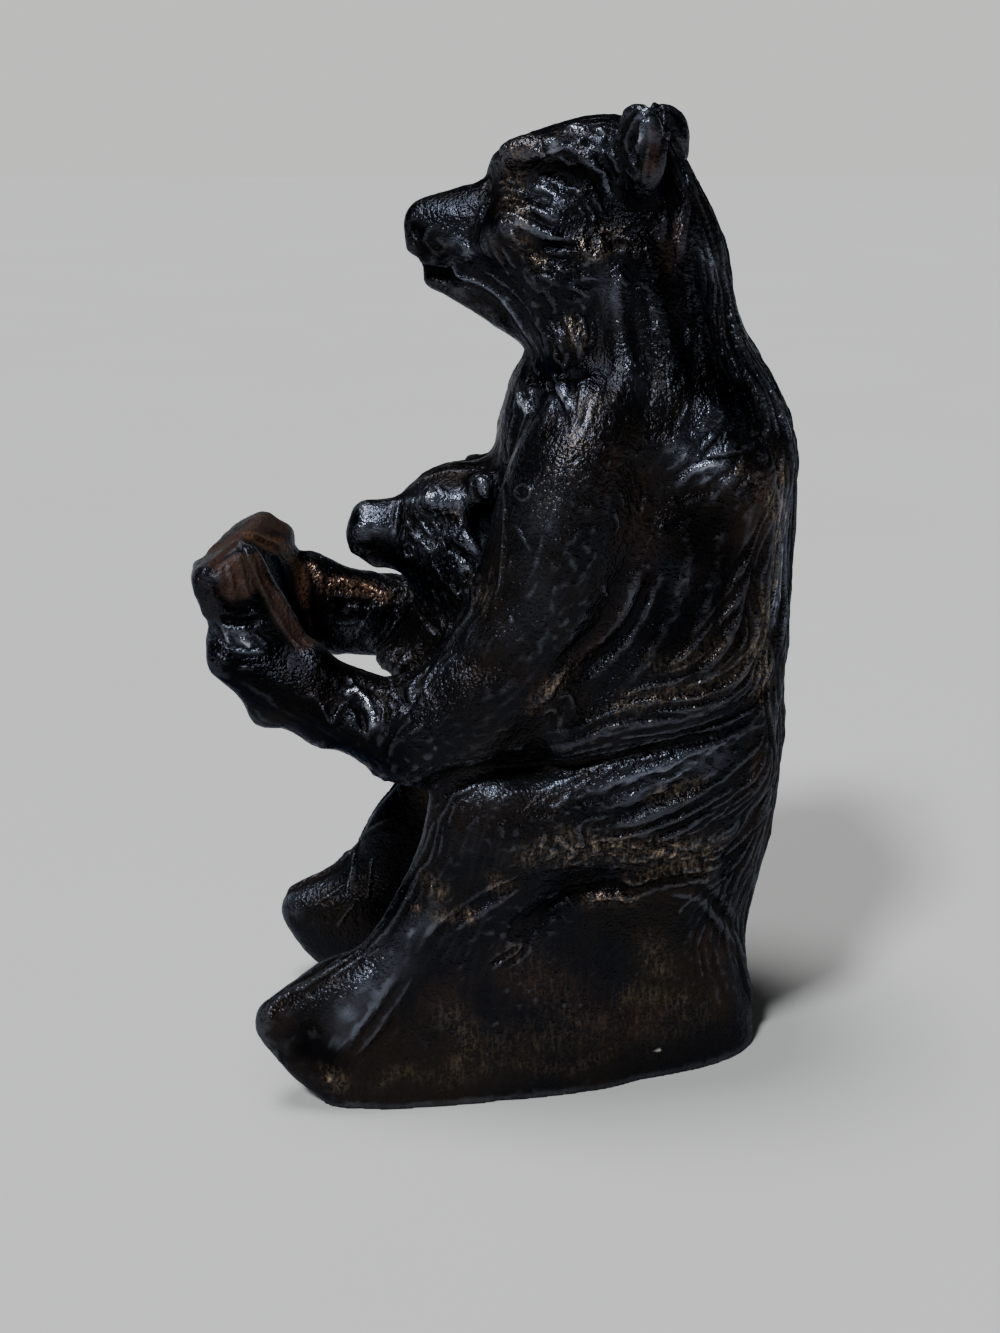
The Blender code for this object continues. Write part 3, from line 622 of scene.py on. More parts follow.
@dataclass
class Comb:
    """Lays the coat: short strokes that follow the nearest guide lines.

    Attributes:
        skin: The surface.
        seed: Number that fixes the strokes' places.
        paths: Each guide line on the surface, with its kind of fur.
        coats: Kind of fur at each point of the guide lines.
        flow: Direction of the fur at each point of the guide lines.
    """

    GUIDE_STEP = 2 * MM
    STROKE_STEP = 0.6 * MM
    BLENDED_POINTS = 6
    BLEND_DISTANCE = 1.5 * MM
    LENGTH_SPREAD = (0.55, 1.25)
    SWAY_RATE = (0.5, 1.0)
    DEPTH_SPREAD = (0.45, 1.3)
    WIDTH_SPREAD = (0.75, 1.35)
    TOOLS = (Tool.GOUGE, Tool.LAP, Tool.LAP, Tool.BEAD)
    STROKE_FADE = 0.4
    FAR_LOSS = 0.6
    BARE_FOOT = 2 * MM
    CROWD_CELL = 2.4 * MM

    skin: Skin
    seed: int = 11
    paths: list[tuple[Coat, np.ndarray]] = field(default_factory=list)
    coats: list[Coat] = field(default_factory=list, init=False)
    flow: list[Vector] = field(default_factory=list, init=False)
    tree: KDTree | None = field(default=None, init=False)

    def add(self, guides: Guides, twin: Twin) -> None:
        """Adds guide lines that are drawn on the picture.

        Args:
            guides: The guide lines.
            twin: Where those without a twin of their own are repeated.
        """
        for guide in guides:
            path = self.skin.lay(guide.line, self.GUIDE_STEP)
            for side in self.skin.twins(path, guide.twin or twin):
                self.add_path(guide.coat, side)

    def add_path(self, coat: Coat, path: np.ndarray) -> None:
        """Adds a guide line that lies on the surface already."""
        if len(path) > 2:
            self.paths.append((coat, path))

    def _gather(self) -> None:
        for coat, path in self.paths:
            ways = np.gradient(path, axis=0)
            ways /= np.maximum(np.linalg.norm(ways, axis=1), 1e-9)[:, None]
            self.coats += [coat] * len(path)
            self.flow += [Vector(way) for way in ways]
        self.tree = tree_of(np.concatenate([path for _, path in self.paths]))

    def direction(self, point: Vector) -> Vector:
        """Returns the way the fur runs at a point, from the nearest guides."""
        total = Vector((0, 0, 0))
        for _, index, distance in self.tree.find_n(point, self.BLENDED_POINTS):
            total += self.flow[index] / (distance * distance + self.BLEND_DISTANCE**2)
        return total.normalized()

    def stroke(self, start: Vector, cut: Cut, chance: random.Random) -> np.ndarray:
        """Follows the fur from a point to both sides.

        Args:
            start: Middle of the stroke.
            cut: How the fur is cut.
            chance: Source of chance.

        Returns:
            Points of the stroke on the surface.
        """
        length = cut.length * chance.uniform(*self.LENGTH_SPREAD)
        steps = max(2, int(length / self.STROKE_STEP / 2))
        phase = chance.uniform(0, 2 * math.pi)
        rate = chance.uniform(*self.SWAY_RATE)
        halves = []
        for sign in (-1, 1):
            point = start.copy()
            half = []
            for i in range(steps):
                place, normal, _, _ = self.skin.bvh.find_nearest(point)
                way = self.direction(place)
                way = (way - normal * way.dot(normal)).normalized()
                sway = math.radians(cut.sway_deg) * math.sin(phase + sign * i * rate)
                way = Matrix.Rotation(sway, 3, normal) @ way
                half.append(place)
                point = place + way * sign * self.STROKE_STEP
            halves.append(half)
        return np.array(halves[0][:0:-1] + halves[1])

    def comb(self, keep_clear: np.ndarray) -> int:
        """Cuts the whole coat.

        Args:
            keep_clear: From 0 to 1 for each vertex, how smooth the skin stays there.

        Returns:
            The number of strokes.
        """
        self._gather()
        chance = random.Random(self.seed)
        order = list(range(len(self.skin.points)))
        chance.shuffle(order)
        taken: dict[tuple[int, int, int], list[np.ndarray]] = {}
        count = 0
        for index in order:
            point = self.skin.points[index]
            if point[2] < self.BARE_FOOT or chance.random() < keep_clear[index]:
                continue
            _, nearest, distance = self.tree.find(point)
            cut = self.coats[nearest].value
            if distance > cut.reach:
                continue
            key = tuple(int(c // self.CROWD_CELL) for c in point)
            near = [
                other
                for dx in (-1, 0, 1)
                for dy in (-1, 0, 1)
                for dz in (-1, 0, 1)
                for other in taken.get((key[0] + dx, key[1] + dy, key[2] + dz), ())
            ]
            if near and min(((np.array(near) - point) ** 2).sum(1)) < cut.spacing * cut.spacing:
                continue
            taken.setdefault(key, []).append(point)
            path = self.stroke(Vector(point), cut, chance)
            tool = chance.choice(self.TOOLS)
            near_guide = 1 - self.FAR_LOSS * distance / cut.reach
            depth = cut.depth * chance.uniform(*self.DEPTH_SPREAD) * near_guide
            width = cut.width * chance.uniform(*self.WIDTH_SPREAD)
            self.skin.work(path, width, depth, tool, self.STROKE_FADE)
            count += 1
        return count


@dataclass
class FurGrain:
    """Gives each point a place across the fur, so that the patina can run fine hairs along it.

    The place is found by least squares: from point to point it grows by how far they lie apart
    across the fur. Her left and right sides are found apart, or the hairs would close into rings.

    Attributes:
        comb: The coat's guide lines.
    """

    BLUR_ROUNDS = 12
    HAIR_REACH = 1.3
    SEAM_WIDTH = 0.1
    SOLVER_STEPS = 500

    comb: Comb

    def ways(self, points: np.ndarray) -> tuple[np.ndarray, np.ndarray]:
        """Finds the fur's direction and strength at each point.

        Args:
            points: The points.

        Returns:
            Directions of the fur, and the strength of the fine hairs.
        """
        ways = np.empty_like(points)
        hair = np.empty(len(points))
        for i, point in enumerate(points):
            ways[i] = self.comb.direction(point)
            _, nearest, distance = self.comb.tree.find(point)
            cut = self.comb.coats[nearest].value
            hair[i] = cut.hair * max(0.0, 1.0 - (distance / cut.reach / self.HAIR_REACH) ** 2)
        return ways, hair

    def place(self, mesh: bpy.types.Mesh) -> tuple[np.ndarray, np.ndarray]:
        """Finds each point's place across the fur.

        Args:
            mesh: The finished skin.

        Returns:
            The places in millimetres, and the strength of the fine hairs.
        """
        points = vectors_of(mesh, "co")
        normals = vectors_of(mesh, "normal")
        one, two = edges_of(mesh)
        ways, hair = self.ways(points)
        whole = (1 + neighbour_counts(one, two, len(points)))[:, None]
        for _ in range(self.BLUR_ROUNDS):
            ways = neighbour_sums(ways, one, two, own=1.0) / whole
            normals = neighbour_sums(normals, one, two, own=1.0) / whole
        normals /= np.linalg.norm(normals, axis=1)[:, None]
        across = np.cross(normals, ways)
        across /= np.maximum(np.linalg.norm(across, axis=1), 1e-9)[:, None]
        same_side = (normals[one, 0] > 0) == (normals[two, 0] > 0)
        one, two = one[same_side], two[same_side]
        steps = points[two] - points[one]
        grow = np.einsum("ij,ij->i", (across[one] + across[two]) / 2, steps) / MM
        beside_seam = np.clip(np.abs(normals[:, 0]) / self.SEAM_WIDTH, 0, 1)
        return self.solve(one, two, grow, len(points)), hair * beside_seam

    def solve(self, one: np.ndarray, two: np.ndarray, grow: np.ndarray, count: int) -> np.ndarray:
        """Solves for the places by conjugate gradient.

        Args:
            one: First point of each edge.
            two: Second point of each edge.
            grow: How much the place grows along each edge.
            count: Number of points.

        Returns:
            The places.
        """
        scale = 1.0 / np.maximum(neighbour_counts(one, two, count), 1)
        rest = np.bincount(two, grow, count) - np.bincount(one, grow, count)
        place = np.zeros(count)
        eased = rest * scale
        way = eased.copy()
        size = rest @ eased
        for _ in range(self.SOLVER_STEPS):
            slope = way[two] - way[one]
            pushed = np.bincount(two, slope, count) - np.bincount(one, slope, count)
            step = size / max(way @ pushed, 1e-12)
            place += step * way
            rest -= step * pushed
            eased = rest * scale
            before, size = size, rest @ eased
            way = eased + size / max(before, 1e-12) * way
        return place


@dataclass(frozen=True)
class SubAssembly:
    """Shared work of the casting's parts: each lays its own marks, lumps and tints on the skin.

    All spots and lines are places in the photograph's picture.

    Attributes:
        name: The part's name.
        twin: Where its details are repeated.
        pulls: Shifts of the form.
        fills: Hollows that are filled.
        lumps: Soft lumps and hollows.
        forms: The larger marks.
        marks: The fine marks.
        single_marks: Fine marks that aren't repeated.
        dabs: Its tints.
        guides: Lines that its fur follows.
    """

    DAB_STEP = 1.5 * MM

    name: str = "part"
    twin: Twin = Twin.BODY
    pulls: Pulls = ()
    fills: Fills = ()
    lumps: Lumps = ()
    forms: Marks = ()
    marks: Marks = ()
    single_marks: Marks = ()
    dabs: Dabs = ()
    guides: Guides = ()

    def stuff(self, skin: Skin) -> None:
        """Fills the hollows that the photograph doesn't have.

        Args:
            skin: The surface.
        """
        for fill in self.fills:
            for place in skin.places(fill.spot, self.twin):
                skin.fill(place, fill.radius * MM)

    def shape(self, skin: Skin) -> None:
        """Works the larger forms.

        Args:
            skin: The surface.
        """
        for lump in self.lumps:
            for place in skin.places(lump.spot, self.twin):
                skin.swell(place, lump.radius * MM, lump.height * MM)
        self.draw(skin, self.forms, self.twin)

    def draw(self, skin: Skin, marks: Marks, twin: Twin) -> None:
        """Works some marks and their twins.

        Args:
            skin: The surface.
            marks: The marks.
            twin: Where they are repeated.
        """
        for mark in marks:
            for path in skin.twins(skin.lay(mark.line), twin):
                skin.work(path, mark.width * MM, mark.height * MM, mark.tool, mark.fade)

    def detail(self, skin: Skin) -> None:
        """Works the fine marks."""
        self.draw(skin, self.marks, self.twin)
        self.draw(skin, self.single_marks, Twin.NONE)

    def colour(self, skin: Skin) -> None:
        """Dabs the tints.

        Args:
            skin: The surface.
        """
        for dab in self.dabs:
            first, *more = spots(dab.line)
            if more:
                sides = skin.twins(skin.lay(dab.line, self.DAB_STEP), self.twin)
                places = [Vector(point) for side in sides for point in side]
            else:
                places = skin.places(first, self.twin)
            for place in places:
                skin.tint(dab.tint, place, dab.radius * MM, dab.strength)


# The rows of the parts' tables: marks by their tool, dabs by their tint and guide lines by their coat
gouge = partial(Mark, Tool.GOUGE)
bead = partial(Mark, Tool.BEAD)
lap = partial(Mark, Tool.LAP)
# Bright dabs: polished swells, with painted highlights on them
polish_and_highlight = partial(Dab, Tint.POLISH_AND_HIGHLIGHT)
gold = partial(Dab, Tint.GOLD)
copper = partial(Dab, Tint.COPPER)
rust = partial(Dab, Tint.RUST)
# Dark dabs: painted shade in hollows and under the forms, and black patina
black_patina_and_painted_shade = partial(Dab, Tint.BLACK_PATINA_AND_PAINTED_SHADE)
book = partial(Dab, Tint.BOOK)
umber = partial(Dab, Tint.UMBER)
chip = partial(Dab, Tint.CHIP)
smooth = partial(Dab, Tint.SMOOTH)
crumple = partial(Dab, Tint.CRUMPLE)
strand = partial(Guide, Coat.STRAND)
lock = partial(Guide, Coat.LOCK)
tuft = partial(Guide, Coat.TUFT)
fine = partial(Guide, Coat.FINE)
curl = partial(Guide, Coat.CURL)


@dataclass(frozen=True)
class MothersHead(SubAssembly):
    """Her head: smooth muzzle, shaded eyes under a rough brow, cheekbone, jowls and ears."""

    name: str = "mother's head"
    twin: Twin = Twin.HEAD
    pulls: Pulls = (
        Pull((406, 222), 0, -0.4, 0, 6),
        Pull((421, 203), 0, 0, 0.1, 4.5),
        Pull((416, 254), 2, -1.4, -0.1, 2),
        Pull((423, 279), 2, 0.6, 0, 1.8),
        Pull((522, 352), 4, 1.4, -0.2, 3),
        Pull((482, 452), 4, 0, -0.8, 3.2),
        Pull((489, 183), 2, 0.9, -0.4, 2.6),
        Pull((492, 161), 2, -1.2, 0.8, 3.2),
        Pull((522, 144), 4, -0.2, 0.9, 4.5),
        Pull((600, 122), 0, 0, 0.3, 9),
        Pull((642, 116), 14, 0.4, 0.2, 4.5, 8),
        Pull((680, 126), -16, 1.4, 1, 6, 9),
        Pull((640, 120), -16, 0.3, 0.6, 4.5, 7),
        Pull((712, 205), 0, 0.2, -0.2, 8),
        Pull((728, 270), 0, 0.1, 0, 8),
        Pull((748, 335), 0, 0.6, 0, 8),
        Pull((785, 415), 0, 0.7, 0, 9),
        Pull((414, 262), 4, 0.9, 0.2, 2.2),
        Pull((428, 282), 4, -0.6, -0.2, 2.2),
    )
    lumps: Lumps = (
        Lump((549, 181), 1.8, 0.75),
        Lump((560, 186), 1.4, 0.5),
        Lump((582, 175), 2, -0.5),
        Lump((594, 180), 1.3, -0.4),
        Lump((416, 229), 1.3, -0.9),
        Lump((422, 249), 1.5, -0.7),
        Lump((468, 254), 1.3, 0.7),
        Lump((452, 240), 1.6, 0.3),
        Lump((448, 212), 2.4, 0.3),
        Lump((552, 216), 1.5, 0.45),
        Lump((535, 187), 1.6, 0.35),
        Lump((596, 250), 2, 0.7),
        Lump((606, 188), 1.5, 0.6),
        Lump((575, 128), 1.2, 0.8),
        Lump((600, 134), 1.1, 0.8),
        Lump((595, 149), 1.1, 0.75),
        Lump((557, 142), 1.2, 0.7),
        Lump((540, 152), 1.2, 0.6),
        Lump((580, 142), 1, 0.6),
        Lump((652, 152), 1.8, -0.7),
        Lump((612, 290), 3.2, 0.5),
        Lump((577, 335), 2.6, 0.8),
        Lump((585, 298), 1.8, 0.4),
        Lump((618, 250), 2, -0.3),
        Lump((640, 225), 2.4, -0.4),
    )
    forms: Marks = (
        bead(0.75, 0.4, "546,151 553,160 562,165 574,167 584,163"),
        bead(0.7, 0.3, "584,160 592,163 600,171 606,184 611,199", 0.2),
        gouge(0.7, 0.55, "595,172 600,182 604,196 606,206"),
        bead(0.8, 0.7, "511,221 524,223 538,230 550,237 564,239", 0.2),
        gouge(0.7, 0.5, "522,211 533,217 545,224 556,226"),
        gouge(0.7, 0.6, "536,242 550,245 563,246 576,247"),
        bead(1, 0.35, "613,231 607,241 600,252 591,258 583,252 580,241 571,230", 0.2),
        gouge(0.6, 0.6, "489,172 490,181 489,190 484,194"),
        bead(0.5, 0.45, "497,189 490,200 483,209 478,224 470,236"),
        gouge(0.9, 0.9, "424,270 436,272 452,277", 0.2),
        gouge(0.6, 0.4, "440,228 430,238 436,246 444,252"),
        bead(0.7, 0.45, "672,156 681,180 687,206 684,227 681,249 672,265"),
        gouge(0.8, 0.5, "664,186 672,205 673,228 668,250"),
    )
    marks: Marks = (
        bead(0.42, 0.42, "449,258 454,268 460,277 470,280 482,284 497,294 508,307 519,321 529,338", 0.15),
        bead(0.42, 0.38, "478,270 492,274 500,281 511,289 521,299 534,314", 0.15),
        bead(0.36, 0.32, "492,252 499,258 506,268 511,277 520,284", 0.2),
        bead(0.36, 0.32, "498,244 505,253 511,262 520,270"),
        bead(0.36, 0.28, "505,240 512,247 520,253 530,257"),
        bead(0.4, 0.32, "524,254 533,259 541,267 550,268"),
        bead(0.4, 0.32, "540,258 550,262 561,270 572,271"),
        bead(0.4, 0.3, "540,276 552,281 561,288"),
        bead(0.5, 0.4, "529,191 540,188 550,192 559,199"),
        bead(0.5, 0.35, "562,193 570,189 577,192 583,197"),
        gouge(0.45, 0.3, "533,200 543,202 553,206 563,204"),
        bead(0.5, 0.3, "526,207 536,209 545,214 556,219"),
        bead(0.5, 0.35, "551,252 563,250 576,255"),
        bead(0.42, 0.45, "577,205 582,211 587,219 590,226", 0.2),
        bead(0.36, 0.4, "583,203 589,209 594,216 592,223", 0.2),
        bead(0.36, 0.4, "591,206 595,202 600,206 602,212 607,210", 0.2),
        gouge(0.36, 0.5, "585,213 588,220 591,229"),
        bead(0.36, 0.3, "560,168 567,166 573,170"),
        bead(0.45, 0.42, "556,154 563,157 570,163 578,165", 0.2),
        bead(0.4, 0.35, "590,166 596,168 603,175"),
        bead(0.4, 0.4, "498,184 508,181 516,183 524,187", 0.2),
        bead(0.4, 0.4, "497,192 507,189 516,191 526,194", 0.2),
        bead(0.4, 0.4, "498,201 508,199 518,200 527,204", 0.2),
        bead(0.4, 0.4, "496,209 506,206 517,208 524,212", 0.2),
        bead(0.4, 0.4, "494,217 504,214 515,216 526,222", 0.2),
        bead(0.42, 0.38, "551,146 560,149 567,146 574,150 583,157"),
        bead(0.42, 0.38, "563,131 571,127 580,129 588,126"),
        bead(0.42, 0.38, "593,128 600,130 604,137 600,143"),
        bead(0.42, 0.38, "568,139 577,142 585,140 592,145 600,150 606,147"),
        bead(0.42, 0.34, "534,147 541,152 546,160 550,168"),
        bead(0.42, 0.34, "545,137 553,141 560,138"),
        bead(0.42, 0.25, "608,152 615,162 618,175 616,190", 0.2),
        gouge(0.36, 0.3, "576,134 584,136 591,136"),
        gouge(0.36, 0.3, "561,144 569,143 576,146"),
        bead(0.4, 0.3, "618,236 626,238 634,244 631,250"),
        gouge(0.35, 0.3, "411,221 416,226 418,234 423,238"),
        bead(0.4, 0.25, "455,238 463,245 470,249 477,256"),
        gouge(0.3, 0.25, "462,259 466,257 469,260", 0.1),
        gouge(0.3, 0.25, "453,256 457,254 459,257", 0.1),
        gouge(0.3, 0.25, "470,251 473,249 475,252", 0.1),
        bead(0.45, 0.5, "624,158 626,144 630,131 638,117 648,110 657,112", 0.12),
        bead(0.45, 0.5, "660,116 664,132 664,152 659,170 652,180", 0.15),
        bead(0.5, 0.45, "645,113 642,126 641,139 637,148"),
        bead(0.35, 0.3, "651,138 647,156 645,170 644,192"),
        gouge(0.5, 0.5, "634,128 632,142 634,156 640,168"),
        lap(0.45, 0.35, "565,291 577,293 588,301"),
        lap(0.5, 0.5, "545,318 554,335 562,358", 0.2),
        lap(0.5, 0.5, "533,322 541,334 544,348", 0.2),
        lap(0.5, 0.5, "560,316 568,331 572,350", 0.2),
        lap(0.45, 0.45, "574,312 582,326 583,342", 0.2),
        lap(0.45, 0.35, "588,318 592,332 588,350"),
        bead(0.45, 0.3, "632,292 640,287 650,288"),
        bead(0.35, 0.35, "694,243 705,259 713,284 718,312", 0.15),
        bead(0.4, 0.3, "699,309 700,333 698,358"),
        bead(0.4, 0.3, "686,322 689,336 687,350"),
    )
    # The bright dabs paint highlights on the muzzle, brow, cheekbone, jaw lines, nape and ear rim; the
    # dark dabs blacken the nose and paint shade in the eye hollow, behind the lip, in the mouth and under
    # the cheekbone, jaw and ear
    dabs: Dabs = (
        polish_and_highlight(2.8, 0.22, "425,213 445,212 462,208"),
        polish_and_highlight(2, 0.36, "440,228 455,232 470,236 472,252"),
        polish_and_highlight(1.6, 0.65, "528,192 545,190 558,196"),
        polish_and_highlight(1.5, 0.75, "515,222 530,226 548,236 562,238"),
        polish_and_highlight(1.4, 0.7, "548,215 560,220"),
        polish_and_highlight(1.8, 1, "575,128 598,132 604,145 596,148"),
        polish_and_highlight(1.4, 0.5, "604,178 610,195"),
        polish_and_highlight(2.4, 0.4, "605,275 605,295 600,320"),
        polish_and_highlight(1.4, 0.9, "645,118 641,140"),
        gold(1.1, 0.55, "505,170 508,190 510,215"),
        gold(1.3, 0.6, "516,178 516,200 519,215 522,226"),
        gold(1.3, 0.5, "520,230 526,246 540,262"),
        gold(2, 0.38, "612,234 605,246 593,254 583,248"),
        polish_and_highlight(1.2, 0.5, "590,166 602,176"),
        gold(1.2, 0.25, "620,242 634,246"),
        gold(1.3, 0.6, "573,325 580,342"),
        gold(2.6, 0.2, "500,160 530,148 560,135 590,125"),
        polish_and_highlight(1, 0.8, "452,264 467,279 490,289 508,306 528,336"),
        polish_and_highlight(1.4, 0.6, "692,240 712,262 728,290 744,330 765,380 780,420"),
        polish_and_highlight(1.8, 1, "552,150 570,141 586,138"),
        rust(1.3, 0.9, "655,132 656,150 652,165"),
        rust(2.2, 1, "666,216 668,236 664,262"),
        rust(1.2, 0.4, "492,240 496,256"),
        rust(1.4, 0.4, "500,185 500,210"),
        black_patina_and_painted_shade(2.2, 1, "572,176 588,178 598,182"),
        black_patina_and_painted_shade(2.4, 0.95, "407,212 408,224 414,236"),
        black_patina_and_painted_shade(1.6, 1, "424,250 436,254"),
        black_patina_and_painted_shade(2, 0.9, "430,272 450,276"),
        black_patina_and_painted_shade(2.4, 0.8, "545,246 570,247"),
        black_patina_and_painted_shade(2.6, 0.9, "632,210 645,198 634,240"),
        black_patina_and_painted_shade(3, 0.8, "620,220 655,280 680,290"),
        smooth(2.6, 0.6, "412,212 440,208 466,205 478,196"),
        smooth(2.6, 0.95, "420,232 450,232 468,232"),
        smooth(2, 0.9, "435,272 470,262"),
        smooth(2.2, 0.9, "535,195 560,200 550,214"),
        smooth(2.2, 0.9, "535,232 560,240"),
        smooth(1.8, 0.9, "640,118 652,130 652,160"),
        smooth(2.4, 0.95, "578,176 590,178"),
        smooth(2.4, 0.9, "665,120 672,135 678,150"),
        smooth(3.6, 1, "604,270 612,300 606,330 596,350"),
        crumple(1.8, 1, "508,170 512,195 515,215 520,240 530,258"),
        crumple(2.2, 0.9, "550,150 575,140 598,140 605,160"),
        crumple(1.8, 1, "585,212 600,212"),
        crumple(2, 1, "605,240 600,250 588,254"),
    )
    guides: Guides = (
        fine("492,165 510,150 535,140 560,128 590,120"),
        fine("498,178 502,200 500,225 502,250"),
        fine("516,172 517,195 515,215"),
        tuft("550,150 570,140 592,145 606,158"),
        curl("575,205 590,212 602,208"),
        tuft("510,246 530,256 555,264 580,262"),
        tuft("520,282 545,300 560,320"),
        tuft("570,272 600,262 628,245"),
        fine("440,284 470,298 500,322 522,342"),
        fine("668,160 682,195 686,235 676,270 664,300"),
        fine("600,270 606,300 600,340 590,370", Twin.BODY),
        fine("640,270 645,300 645,340 648,380", Twin.BODY),
        fine("680,270 690,305 696,340 690,375", Twin.BODY),
        strand("676,150 694,190 712,230 724,280 730,330", Twin.BODY),
        strand("690,165 712,200 728,240 736,290 750,335 772,385", Twin.BODY),
    )


